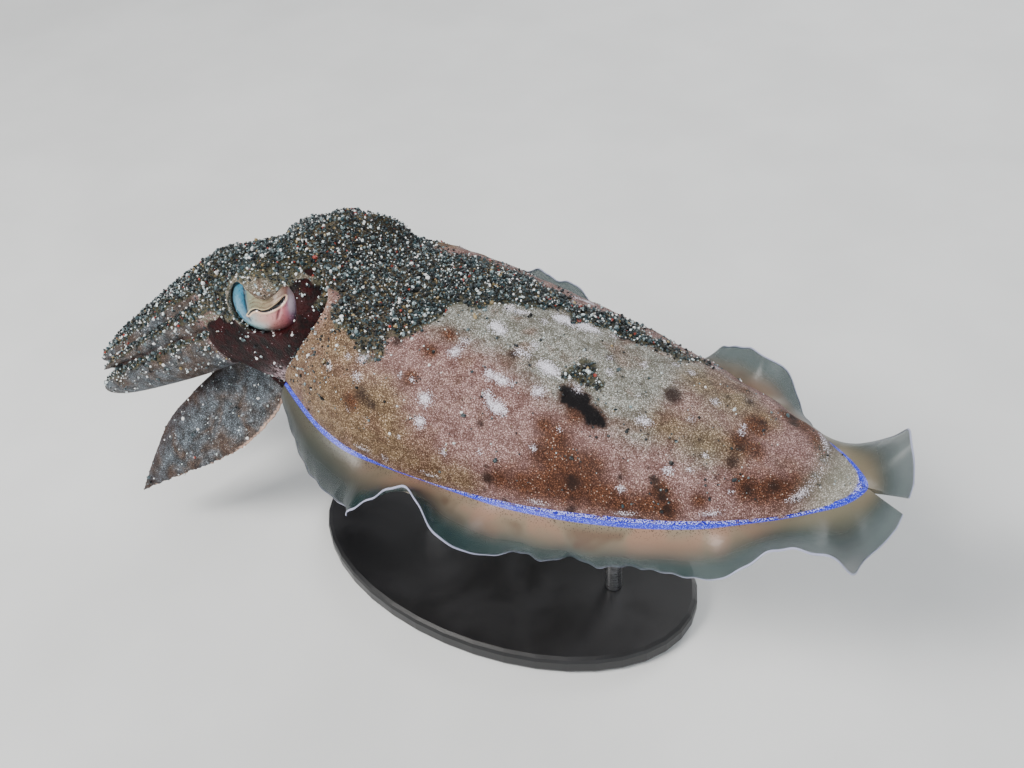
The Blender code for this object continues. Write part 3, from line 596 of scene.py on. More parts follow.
def head_rings(shares, sides=120):
    angles = np.linspace(0, 2 * math.pi, sides + 1)[:-1]
    rings = []
    for share in shares:
        key = through(HEAD_KEYS, share)
        centre, way, (wide, high, deep) = key[:3], key[3:6], key[6:]
        up, left = upright_frame(way)
        c, z = rounded(angles, float(through(HEAD_ROUNDNESS, share)))
        tall = np.where(z > 0, high, deep)
        ring = centre + np.outer(c * wide, left) + np.outer(z * tall, up)
        rings.append(ring + unit(ring - centre) * brow_lift(ring)[:, None])
    return np.array(rings)


def eye_matrix(side):
    """Sets an eye's own axes, out, across and up, on that side of the head."""
    turn = Matrix.Rotation(side * (math.pi / 2 - EYE_YAW), 4, "Z") @ Matrix.Rotation(-EYE_RISE, 4, "Y")
    centre = Vector((EYE_CENTRE.x, side * EYE_CENTRE.y, EYE_CENTRE.z))
    if side > 0:
        centre += FAR_EYE_SHIFT
    return Matrix.Translation(centre) @ turn @ Matrix.Diagonal((1, -side, 1, 1))


def eye_ball(name, side, grow=0.0, columns=96, rows=64, top=0.68):
    """A globe whose part under the upper lid is flattened to a share of its rise."""
    size = Matrix.Diagonal((*(r + grow for r in EYE_RADII), 1))
    piece = ball(name, size, columns, rows)
    points = points_of(piece)
    height = points[:, 2]
    points[:, 2] = np.where(height > LID_HEIGHT, LID_HEIGHT + (height - LID_HEIGHT) * top, height)
    put_points(piece, points)
    piece.data.transform(eye_matrix(side))
    piece.data.update()
    if side < 0:
        return piece
    select_only(piece)
    bpy.ops.object.mode_set(mode="EDIT")
    bpy.ops.mesh.select_all(action="SELECT")
    bpy.ops.mesh.normals_make_consistent(inside=False)
    bpy.ops.object.mode_set(mode="OBJECT")
    return piece


def smooth_loop(corners, count):
    """Points evenly round a closed smooth curve through corners."""
    corners = np.array(corners, float)
    wrap = np.concatenate([corners[-2:], corners, corners[:3]])
    keys = [(i - 2, p) for i, p in enumerate(wrap)]
    return through(keys, np.linspace(0, len(corners), count + 1)[:-1])


def eye_cutter(side):
    """Cuts the gap between the lids, out through the skin."""
    loop = smooth_loop(EYE_OPENING, 90) * MM
    rings = []
    for out, share in ((0.0, 0.93), (0.0050, 0.97), (0.0078, 1.0), (0.0105, 1.10), (0.0150, 1.25)):
        ring = np.stack([np.full(len(loop), out), loop[:, 0] * share, loop[:, 1] * share], -1)
        rings.append([eye_matrix(side) @ Vector(p) for p in ring])
    return wrapped("lid_cutter", np.array(rings))


def crown_axis(t):
    reach = np.minimum(t, 1.0)[..., None]
    a, b, c = CROWN_ROOT, CROWN_BEND, CROWN_TIP
    point = a * (1 - reach) ** 2 + b * (2 * reach * (1 - reach)) + c * reach**2
    way = (b - a) * (1 - reach) + (c - b) * reach
    return point + way * (2 * (t[..., None] - reach)), unit(way)


def crown_point(t, angle, radius):
    """Points round the crown's line. The angle runs from the back, down the left side if positive."""
    centre, way = crown_axis(t)
    up, left = upright_frame(way)
    return centre + up * (np.cos(angle) * radius)[..., None] + left * (np.sin(angle) * radius)[..., None]


def held_arm_section(number, t):
    length, blunt = HELD_ARMS[number][4:]
    left_over = np.sqrt(np.clip(1 - (np.maximum(t, 0) / length) ** blunt, 0, 1))
    outer, inner = through(CROWN_OUTER, t), through(CROWN_INNER, t)
    middle, half = 0.5 * (outer + inner), 0.5 * (outer - inner) * left_over
    return middle - half, middle + half, left_over


def held_arm_spread(number, t):
    """Middle and half spread of an arm round the crown, in degrees."""
    root_middle, tip_middle, root_half, tip_half = HELD_ARMS[number][:4]
    reach = np.clip(t, 0, 1)
    return root_middle + (tip_middle - root_middle) * reach, root_half + (tip_half - root_half) * reach


def held_arm_points(number, side, t, around):
    """Points of an arm held in the crown. Around is 0 at its upper edge, 90 degrees outside."""
    inner, outer, share = held_arm_section(number, t)
    middle, half = held_arm_spread(number, t)
    c, s = rounded(around, through(ARM_ROUNDNESS, t))
    radius = 0.5 * (inner + outer) + s * 0.5 * (outer - inner)
    spread = np.maximum(np.radians(half) * share - 0.0002 / radius, 0.01)
    return crown_point(t, -side * (np.radians(middle) - c * spread), radius)


def blade_points(side, t, c, s):
    """Points of a hanging arm: c runs from its upper to its lower edge, and s is 1 outside."""
    key, ahead, behind = (through(BLADE_KEYS, np.clip(t + d, 0, 1)) for d in (0, 0.02, -0.02))
    upper, lower, thick = key[..., :3], key[..., 3:6], key[..., 6]
    way = ahead[..., :3] + ahead[..., 3:6] - behind[..., :3] - behind[..., 3:6]
    out = unit(np.cross(way, lower - upper))
    scallop = 0.00045 * np.sin(46 * t) * step(0.55, 0.9, t) * step(0.3, 1.0, c)
    sheet = 0.5 * s * thick * (0.72 - 0.28 * c) + scallop
    point = upper + (lower - upper) * (0.5 + 0.5 * c)[..., None] + out * sheet[..., None]
    if side > 0:
        point = point * np.array((1, -FAR_BLADE_SPREAD, 1))
    return point


def siphon_rings(sides=40):
    """A short funnel with an open end and a wall."""
    way = unit(SIPHON_TIP - SIPHON_ROOT)
    up, left = upright_frame(way)
    angles = np.linspace(0, 2 * math.pi, sides + 1)[:-1]
    spokes = np.outer(np.sin(angles), up) + np.outer(np.cos(angles), left)
    length = np.linalg.norm(SIPHON_TIP - SIPHON_ROOT)
    shape = [
        (0.0, 6.0), (0.3, 5.6), (0.6, 4.9), (0.85, 4.1), (0.96, 3.8), (1.0, 3.4), (0.96, 2.9), (0.7, 3.0),
        (0.4, 3.2),
    ]
    rings = [SIPHON_ROOT + way * (length * share) + spokes * (radius * MM) for share, radius in shape]
    return np.array(rings)


def front_skin():
    """Head, arms and siphon, grown together into one painted skin."""
    samples, labels = [], []

    def note(points, number, t, c, s):
        flat = points.reshape(-1, 3)
        samples.append(flat)
        fields = [np.broadcast_to(v, points.shape[:-1]).ravel() for v in (number, t, c, s)]
        labels.append(np.stack(fields, -1))

    rings = head_rings(np.linspace(0.08, 1.0, 64))
    note(rings, 0, 0, 0, 0)
    head = wrapped("head", rings)
    for side in SIDES.values():
        fuse(head, eye_ball("lids", side, LID, 64, 40, 1.0 if side < 0 else 0.75), "UNION")
    for side in SIDES.values():
        fuse(head, eye_ball("socket", side, 0.0003, 64, 40), "DIFFERENCE")
        fuse(head, eye_cutter(side), "DIFFERENCE")
    pieces = [head]
    around = np.linspace(0, 2 * math.pi, 41)[:-1]
    for side in SIDES.values():
        for number in HELD_ARMS:
            length = HELD_ARMS[number][4]
            t = length * np.sin(np.linspace(-0.12, math.pi / 2, 56)[:-1])
            t, turns = np.meshgrid(t, around, indexing="ij")
            rings = held_arm_points(number, side, t, turns)
            note(rings, number, t, np.cos(turns), np.sin(turns))
            pieces.append(wrapped(f"arm_{number}", rings))
        c, s = rounded(around, 1.8)
        c = c * 1.03
        t = np.linspace(0, 1, 60)[:, None] * np.ones(len(around))
        rings = blade_points(side, t, c + 0 * t, s + 0 * t)
        note(rings, 4, t, c + 0 * t, s + 0 * t)
        pieces.append(wrapped("arm_4", rings))
    pieces.append(wrapped("siphon", siphon_rings()))
    note(siphon_rings(), 5, 0, 0, 0)
    piece = joined("front_skin", pieces)
    apply_modifier(piece, "REMESH", mode="VOXEL", voxel_size=SKIN_CELL)
    apply_modifier(piece, "SMOOTH", factor=0.5, iterations=SKIN_SMOOTHING)
    found = nearest_labels(points_of(piece), np.concatenate(samples), np.concatenate(labels))
    paint_front(piece, found)
    return piece


def nearest_labels(points, samples, labels):
    tree = KDTree(len(samples))
    for i, p in enumerate(samples):
        tree.insert(p, i)
    tree.balance()
    return labels[[tree.find(p)[1] for p in points]]


# Outline of the dark cheek patch, (x, z) in millimetres
CHEEK = np.array([
    (-82.4, 5.6), (-79.0, 8.2), (-74.0, 9.0), (-68.0, 10.0), (-62.5, 12.0), (-60.2, 15.0), (-59.6, 18.5),
    (-60.4, 21.2), (-58.9, 21.7), (-57.2, 21.4), (-55.1, 20.3), (-53.6, 19.3), (-52.4, 18.2), (-50.5, 17.2),
    (-47.0, 14.0), (-45.0, 8.0), (-46.0, -6.0), (-56.0, -10.0),
    (-66.0, -12.5), (-74.0, -14.8), (-76.5, -9.0), (-79.5, -3.5), (-82.2, 1.0),
])
# Pale net at the foot of the cheek, and skin round the eye that sand leaves open, as marks
CHEEK_NET = [(-67.0, -16.0, -6.0, 1.4), (-63.5, -17.5, -2.0, 1.1), (-70.5, -14.0, -9.5, 1.2)]
OPEN_SKIN = [
    (-65.2, -16.2, 20.0, 1.2), (-68, -15.5, 19.6, 1.0), (-72, -15.5, 19.0, 0.9), (-58.0, -10.5, 21.2, 0.9),
    (-54.5, -12.5, 20.0, 0.8),
]


def inside_outline(places, corners):
    """Distance inside a closed outline in a plane, negative outside it."""
    best = np.full(len(places), 1e9)
    crossings = np.zeros(len(places), int)
    for a, b in zip(corners, np.roll(corners, -1, 0)):
        run = b - a
        share = np.clip(((places - a) @ run) / (run @ run), 0, 1)
        best = np.minimum(best, np.linalg.norm(places - a - share[:, None] * run, axis=1))
        between = (a[1] > places[:, 1]) != (b[1] > places[:, 1])
        rise_to = (places[:, 1] - a[1]) / (b[1] - a[1] + 1e-12)
        crossings += between & (places[:, 0] < a[0] + rise_to * run[0])
    return np.where(crossings % 2 == 1, best, -best)


def paint_front(piece, found):
    """Paints the fields of head, arms and siphon. Each point has an arm's number, t, c and s."""
    points, normals = points_of(piece), normals_of(piece)
    number, t, c, s = found.T
    held = (number >= 1) & (number <= 3)
    blade = number == 4
    inside = inside_outline(points[:, [0, 2]] / MM, CHEEK) + 0.8 * ripple(points, 0.004, 23)
    wine = step(-1.3, 1.3, inside) * step(0.005, 0.008, np.abs(points[:, 1]))
    wine *= np.where(number == 0, 1.0, step(0.22, 0.10, t) * (number != 5))
    arm = np.where(held | blade, step(-0.02, 0.10, t), 0.0)
    olive = np.where(number == 0, 1.0, 0.0)
    # Groove: painted shade, a dark line along the edges where the held arms meet; on the lower blades it is
    # their brown upper margin and darker tip
    groove = np.where(held, step(0.80, 0.97, np.abs(c)) * step(-0.2, 0.3, s), 0.0)
    groove *= step(0.0, 0.08, t)
    margin = np.maximum(0.6 * step(0.35, 0.95, -c), 0.6 * step(0.78, 1.0, t))
    groove = np.maximum(groove, np.where(blade, margin, 0.0))
    edge = np.where(blade, step(0.90, 0.97, c) * step(0.0, 0.2, t), 0.0)
    third = 0.5 * step(0.80, 0.98, -c) * step(0.35, 0.8, t)
    edge = np.maximum(edge, np.where(number == 3, third, 0.0))
    zero = np.zeros(len(points))
    paint(
        piece,
        line=zero + 5.0, half=zero, dark=zero, spot=zero, rust=zero, rim=zero,
        gold=0.5 * olive, olive=olive, wine=wine, arm=arm, groove=groove, edge=edge,
        pale=haze(points, CHEEK_NET, 2.2 * MM),
        cream=(number == 5) * 1.0,
        sand=front_sand(points, normals, number, wine),
    )


def front_sand(points, normals, number, wine):
    """How thickly sand lies on the head and arms, 0 to 1."""
    wander = 0.10 * ripple(points, 0.010, 21) + 0.06 * ripple(points, 0.004, 22)
    facing = normals[:, 2] + wander
    thick = np.where(number < 4, step(0.30, 0.62, facing), 0.0)
    thick *= (1 - 0.8 * blobs(points, OPEN_SKIN, 3.6 * MM, 0.6)) * (1 - wine)
    clumps = step(0.0, 1.1, ripple(points, 0.0045, 24))
    on_arm = (0.10 + 0.30 * clumps * (number == 3)) * step(-0.6, 0.2, facing)
    thin = np.where(number == 0, 0.10 * step(-0.3, 0.2, facing), on_arm)
    thin = np.where(number == 4, 0.02 + 0.06 * clumps, thin)
    thin = np.maximum(thin * (1 - wine), 0.13 * wine * clumps) * (number != 5)
    return np.maximum(thick, thin)


# Eyes


def pupil_field(across, up):
    """Distance outside the pupil's wavy slit, in millimetres, and height above its line."""
    keys = np.array(PUPIL)
    curve = through([(i, key) for i, key in enumerate(keys)], np.linspace(0, len(keys) - 1, 160))
    away = np.hypot(across[:, None] - curve[:, 0], up[:, None] - curve[:, 1]) - curve[:, 2]
    level = np.interp(across, curve[:, 0], curve[:, 1])
    return away.min(1), up - level


def eye(name, side):
    """A globe with its pupil and folds pressed in, painted with places on it in millimetres."""
    piece = eye_ball(name, side, 0.0, 240, 150)
    own = points_of(piece)
    back = np.array(eye_matrix(side).inverted())
    local = (np.c_[own, np.ones(len(own))] @ back.T)[:, :3] / MM
    out, across, up = local.T
    slit, above = pupil_field(across, up)
    front = step(0.0, 3.0, out)
    groove = -3.75 - 0.10 * up
    press = -0.30 * (1 - step(-0.12, 0.12, slit))
    press += 0.12 * np.exp(-((slit - 0.35) / 0.25) ** 2)
    press += 0.20 * np.exp(-((above - 1.3) / 0.8) ** 2) * np.exp(-((across - 0.5) / 3.0) ** 2)
    press -= 0.22 * np.exp(-((across - groove) / 0.30) ** 2) * np.exp(-((up + 0.2) / 3.4) ** 2)
    crease = np.exp(-((across - 4.25 + 0.35 * (1.0 - up)) / 0.28) ** 2)
    press -= 0.20 * crease * step(1.2, 0.2, up) * step(-4.2, -2.0, up)
    put_points(piece, own + normals_of(piece) * (press * front * MM)[:, None])
    slit = slit * front + 6 * (1 - front)
    paint(piece, slit=slit, above=above, across=across, up=up, out=out, groove=across - groove)
    return piece


# Suckers and mouth


def sucker_form():
    """One small cup on a short neck, a few dozen faces. Its rim looks along +Z and has radius 1."""
    angles = np.linspace(0, 2 * math.pi, 11)[:-1]
    shape = [(0.45, -0.9), (0.5, 0.0), (0.95, 0.35), (1.0, 0.7), (0.78, 0.8), (0.55, 0.45)]
    rings = [np.stack([np.cos(angles) * r, np.sin(angles) * r, np.full(10, z)], -1) for r, z in shape]
    return wrapped("sucker_form", np.array(rings))


def copies(name, form, places):
    """Many copies of one form in one mesh. Places are (origin, axes as columns)."""
    points = points_of(form)
    faces = [tuple(p.vertices) for p in form.data.polygons]
    origins = np.array([p[0] for p in places])
    axes = np.array([p[1] for p in places])
    all_points = np.einsum("nij,kj->nki", axes, points) + origins[:, None]
    shift = np.arange(len(places)) * len(points)
    all_faces = [tuple(v + s for v in face) for s in shift for face in faces]
    mesh = bpy.data.meshes.new(name)
    mesh.from_pydata(all_points.reshape(-1, 3).tolist(), [], all_faces)
    piece = bpy.data.objects.new(name, mesh)
    bpy.context.scene.collection.objects.link(piece)
    bpy.data.objects.remove(form)
    return piece


def suckers(skin):
    """Four staggered rows of small cups along the inner face of each arm."""
    tree = BVHTree.FromObject(skin, bpy.context.evaluated_depsgraph_get())
    places = []
    for side in SIDES.values():
        for number in (1, 2, 3, 4):
            for row in range(SUCKER_ROWS):
                for k in range(SUCKERS_IN_ROW):
                    share = 0.05 + 0.90 * (k + 0.5 * (row % 2)) / SUCKERS_IN_ROW
                    radius = SUCKER_RADII[0] + share * (SUCKER_RADII[1] - SUCKER_RADII[0])
                    offset = (row - 1.5) / 1.5
                    if number < 4:
                        t = np.array(share * HELD_ARMS[number][4])
                        middle, half = held_arm_spread(number, t)
                        inner, _, left_over = held_arm_section(number, t)
                        angle = -side * math.radians(middle + 0.62 * offset * half * left_over)
                        place = crown_point(t, np.array(angle), inner)
                        inward = unit(crown_axis(t)[0] - place)
                    else:
                        t = np.array(0.20 + 0.78 * share)
                        c = np.array(-0.52 + 0.26 * offset)
                        place = blade_points(side, t, c, np.array(-0.9))
                        inward = unit(place - blade_points(side, t, c, np.array(1.0)))
                    hit, normal, _, distance = tree.find_nearest(Vector(place))
                    if hit is None or distance > 0.0012:
                        continue
                    if normal.dot(Vector(inward)) < 0.2:
                        continue
                    inward = np.array(normal)
                    side_way = unit(np.cross(inward, np.array((0.3, 0.2, 0.9))))
                    other = np.cross(inward, side_way)
                    axes = np.stack([side_way, other, inward], -1) * radius
                    places.append((np.array(hit) + inward * radius * 0.25, axes))
    return copies("suckers", sucker_form(), places)


def mouth():
    """The lobed lip round the beak, at the bottom of the crown."""
    _, way = crown_axis(np.array(0.0))
    up, left = upright_frame(way)
    angles = np.linspace(0, 2 * math.pi, 121)[:-1]
    spokes = np.outer(np.cos(angles), up) + np.outer(np.sin(angles), left)
    shape = [
        (4.2, -1.5), (4.5, 0.0), (4.5, 1.8), (4.0, 3.2), (3.2, 3.9), (2.4, 3.8), (1.9, 3.0), (1.6, 1.6),
    ]
    rings = []
    for radius, height in shape:
        lobes = 1 - 0.06 * np.cos(20 * angles) * step(0.5, 3.0, height)
        rings.append(CROWN_ROOT + way * (height * MM) + spokes * (radius * MM * lobes)[:, None])
    return wrapped("mouth_lip", np.array(rings))


# Fins


def fin(side_name):
    """A thin wavy membrane that grows out of the mantle at the fin line."""
    side = SIDES[side_name]
    stations = np.sin(math.pi / 2 * np.linspace(0, 1, 321))
    lift = np.radians(through(FIN_LIFTS[side_name], stations))
    lift += np.radians(3.5) * np.sin(stations * 61) * step(0.05, 0.2, stations)
    width = through(FIN_WIDTHS, stations) * (1 + 0.03 * np.sin(stations * 83))
    behind, ahead = np.clip(stations - 0.004, 0, 1), np.clip(stations + 0.004, 0, 1)
    run = np.stack([along(ahead) - along(behind), half_width(ahead) - half_width(behind)], -1)
    out = unit(np.stack([-run[:, 1], run[:, 0], 0 * stations], -1))
    root = np.stack([along(stations), half_width(stations), fin_line_height(stations)], -1)
    root += out * 0.0001
    shares = np.linspace(-0.08, 1, 30)
    rows = []
    for up_side in (1, -1):
        for share in shares if up_side > 0 else shares[::-1]:
            reach = max(share, 0.0)
            bend = lift * (0.55 + 0.6 * reach)
            here = out * np.cos(bend)[:, None] + np.stack([0 * bend, 0 * bend, np.sin(bend)], -1)
            normal = np.stack([0 * bend, 0 * bend, np.cos(bend)], -1) - out * np.sin(bend)[:, None]
            half = FIN_EDGE_HALF + (FIN_ROOT_HALF - FIN_EDGE_HALF) * (1 - reach) ** 1.5
            if reach > 0.97:
                half *= 0.6
            frill = 0.00025 * np.sin(stations * 190) * reach**3
            point = root + here * (width * share)[:, None] + normal * (half * up_side + frill)[:, None]
            point[:, 1] = side * np.maximum(point[:, 1], 0.0001)
            rows.append((point, share))
    points = np.array([r[0] for r in rows])
    piece = wrapped(f"fin_{side_name}_film", points.transpose(1, 0, 2))
    tree = KDTree(points.shape[0] * points.shape[1])
    fields = []
    for i in range(points.shape[0]):
        for j in range(points.shape[1]):
            tree.insert(points[i, j], len(fields))
            fields.append((rows[i][1], rows[i][1] * width[j] / MM, stations[j]))
    tree.balance()
    fields = np.array(fields)[[tree.find(p)[1] for p in points_of(piece)]]
    paint(piece, reach=fields[:, 0], line=-fields[:, 1], station=fields[:, 2])
    return piece


# Sand


# Colours of grains, black to white, then ochre and red, and the share of grains that has each
TINTS = np.array([
    (0.002, 0.003, 0.004), (0.006, 0.008, 0.011), (0.016, 0.023, 0.027), (0.012, 0.034, 0.042),
    (0.060, 0.088, 0.098), (0.18, 0.24, 0.255), (0.84, 0.94, 0.96), (0.26, 0.19, 0.09), (0.30, 0.040, 0.025),
])
WHITE_GRAIN = 6
TINT_SHARES = np.array([0.20, 0.17, 0.12, 0.13, 0.11, 0.10, 0.120, 0.035, 0.015])
FINE_SHARES = np.array([0.10, 0.12, 0.14, 0.16, 0.22, 0.15, 0.080, 0.020, 0.010])


def sand(name, skin, count, seed, bright, fine):
    """Grains on a skin where its sand field says, heaped where that is high.

    Bright is the share of white ones where sand is thin.
    """
    dice = np.random.default_rng(seed)
    points, normals = points_of(skin), normals_of(skin)
    field = np.empty(len(points), np.float32)
    skin.data.attributes["sand"].data.foreach_get("value", field)
    skin.data.calc_loop_triangles()
    triangles = np.empty(len(skin.data.loop_triangles) * 3, np.int32)
    skin.data.loop_triangles.foreach_get("vertices", triangles)
    triangles = triangles.reshape(-1, 3)
    corners = points[triangles]
    area = np.linalg.norm(np.cross(corners[:, 1] - corners[:, 0], corners[:, 2] - corners[:, 0]), axis=1)
    weight = area * field[triangles].mean(1)
    chosen = dice.choice(len(triangles), count, p=weight / weight.sum())
    mix = dice.dirichlet((1, 1, 1), count)
    spots = (corners[chosen] * mix[..., None]).sum(1)
    lean = unit((normals[triangles[chosen]] * mix[..., None]).sum(1))
    thick = (field[triangles[chosen]] * mix).sum(1)
    middle = FINE_GRAIN if fine else COARSE_GRAIN
    size = np.clip(dice.lognormal(math.log(middle), 0.34, count), *GRAIN_LIMITS) * MM
    if fine:
        size = np.minimum(size, FINE_LIMIT * MM)
    heap = dice.uniform(0, 1, count) * step(0.75, 1.0, thick) * HEAP_HEIGHT * MM
    bpy.ops.mesh.primitive_ico_sphere_add(subdivisions=1, radius=1)
    form = bpy.context.object
    base = points_of(form)
    faces = np.array([tuple(p.vertices) for p in form.data.polygons])
    bpy.data.objects.remove(form)
    bumps = dice.uniform(0.68, 1.25, (count, len(base), 1))
    shape = base * bumps * dice.uniform(0.65, 1.2, (count, 1, 3))
    turns = random_turns(dice, count)
    shape = np.einsum("nij,nkj->nki", turns, shape) * size[:, None, None]
    places = shape + (spots + lean * (size * 0.35 + heap)[:, None])[:, None]
    mesh = bpy.data.meshes.new(name)
    all_faces = faces[None] + (np.arange(count) * len(base))[:, None, None]
    mesh.from_pydata(places.reshape(-1, 3).tolist(), [], all_faces.reshape(-1, 3).tolist())
    piece = bpy.data.objects.new(name, mesh)
    bpy.context.scene.collection.objects.link(piece)
    shares = FINE_SHARES if fine else TINT_SHARES
    kind = dice.choice(len(TINTS), count, p=shares / shares.sum())
    kind[(thick < 0.45) & (dice.uniform(0, 1, count) < bright)] = WHITE_GRAIN
    tint = np.clip(TINTS[kind] * dice.uniform(0.6, 1.5, (count, 1)), 0, 0.97)
    tint = np.repeat(np.c_[tint, np.ones(count)], len(base), 0)
    paint(piece, tint=tint)
    return piece


def random_turns(dice, count):
    """Turns in all directions alike, as 3 by 3 arrays."""
    q = unit(dice.normal(size=(count, 4)))
    w, x, y, z = q.T
    return np.stack([
        np.stack([1 - 2 * (y * y + z * z), 2 * (x * y - w * z), 2 * (x * z + w * y)], -1),
        np.stack([2 * (x * y + w * z), 1 - 2 * (x * x + z * z), 2 * (y * z - w * x)], -1),
        np.stack([2 * (x * z - w * y), 2 * (y * z + w * x), 1 - 2 * (x * x + y * y)], -1),
    ], 1)


# Materials


class Wire:
    """An output of a material's node, for sums with numbers and with other wires."""

    def __init__(self, finish, socket):
        self.finish = finish
        self.socket = socket

    def maths(self, operation, *values):
        inputs = dict(enumerate((self, *values)))
        return self.finish.node("ShaderNodeMath", {"operation": operation}, inputs)

    def __add__(self, other):
        return self.maths("ADD", other)

    def __sub__(self, other):
        return self.maths("SUBTRACT", other)

    def __rsub__(self, other):
        return self.maths("MULTIPLY_ADD", -1.0, other)

    def __mul__(self, other):
        return self.maths("MULTIPLY", other)

    __radd__ = __add__
    __rmul__ = __mul__

    def ramp(self, low, high, start=0.0, end=1.0):
        """Start below low and end above high, with a smooth change between."""
        if low > high:
            low, high, start, end = high, low, end, start
        settings = {"interpolation_type": "SMOOTHSTEP"}
        inputs = {0: self, 1: low, 2: high, 3: start, 4: end}
        return self.finish.node("ShaderNodeMapRange", settings, inputs)

    def band(self, middle, half, soft):
        """1 within half of the middle and 0 past that and the soft edge."""
        return (self - middle).maths("ABSOLUTE").ramp(half + soft, half)


class Finish:
    """A material built node by node round one Principled shader."""

    def __init__(self, name, **constants):
        self.material = bpy.data.materials.new(name)
        self.material.use_nodes = True
        self.tree = self.material.node_tree
        self.shader = self.tree.nodes["Principled BSDF"]
        for key, value in constants.items():
            self.shader.inputs[key.replace("_", " ")].default_value = value
        place = self.node("ShaderNodeTexCoord", out="Object")
        self.place = self.node("ShaderNodeVectorMath", {"operation": "SCALE"}, {0: place, "Scale": 1000.0})

    def node(self, kind, settings=None, inputs=None, out=0):
        made = self.tree.nodes.new(kind)
        for key, value in (settings or {}).items():
            if key == "stops":
                self.set_stops(made.color_ramp, value)
            else:
                setattr(made, key, value)
        for key, value in (inputs or {}).items():
            self.plug(made.inputs[key], value)
        return Wire(self, made.outputs[out])

    def set_stops(self, ramp, stops):
        while len(ramp.elements) < len(stops):
            ramp.elements.new(1.0)
        for element, (place, colour) in zip(ramp.elements, stops):
            element.position = place
            element.color = (*colour, 1)

    def plug(self, socket, value):
        if isinstance(value, Wire):
            self.tree.links.new(value.socket, socket)
        elif socket.type == "RGBA" and not hasattr(value, "__len__"):
            socket.default_value = (value, value, value, 1)
        elif socket.type == "RGBA":
            socket.default_value = (*value, 1)
        else:
            socket.default_value = value

    def field(self, name):
        return self.node("ShaderNodeAttribute", {"attribute_name": name}, out="Fac")

    def mix(self, share, first, second, blend="MIX"):
        settings = {"data_type": "RGBA", "blend_type": blend}
        return self.node("ShaderNodeMix", settings, {0: share, 6: first, 7: second}, out=2)

    def cloud(self, per_mm, detail=2.0, rough=0.5, warp=0.0):
        inputs = {"Vector": self.place, "Scale": per_mm, "Detail": detail, "Roughness": rough}
        inputs["Distortion"] = warp
        return self.node("ShaderNodeTexNoise", None, inputs)

    def cells(self, per_mm, out=0):
        return self.node("ShaderNodeTexVoronoi", None, {"Vector": self.place, "Scale": per_mm}, out=out)

    def set(self, name, value):
        self.plug(self.shader.inputs[name], value)

    def bump(self, height, strength, distance):
        inputs = {"Strength": strength, "Distance": distance, "Height": height}
        self.set("Normal", self.node("ShaderNodeBump", None, inputs))


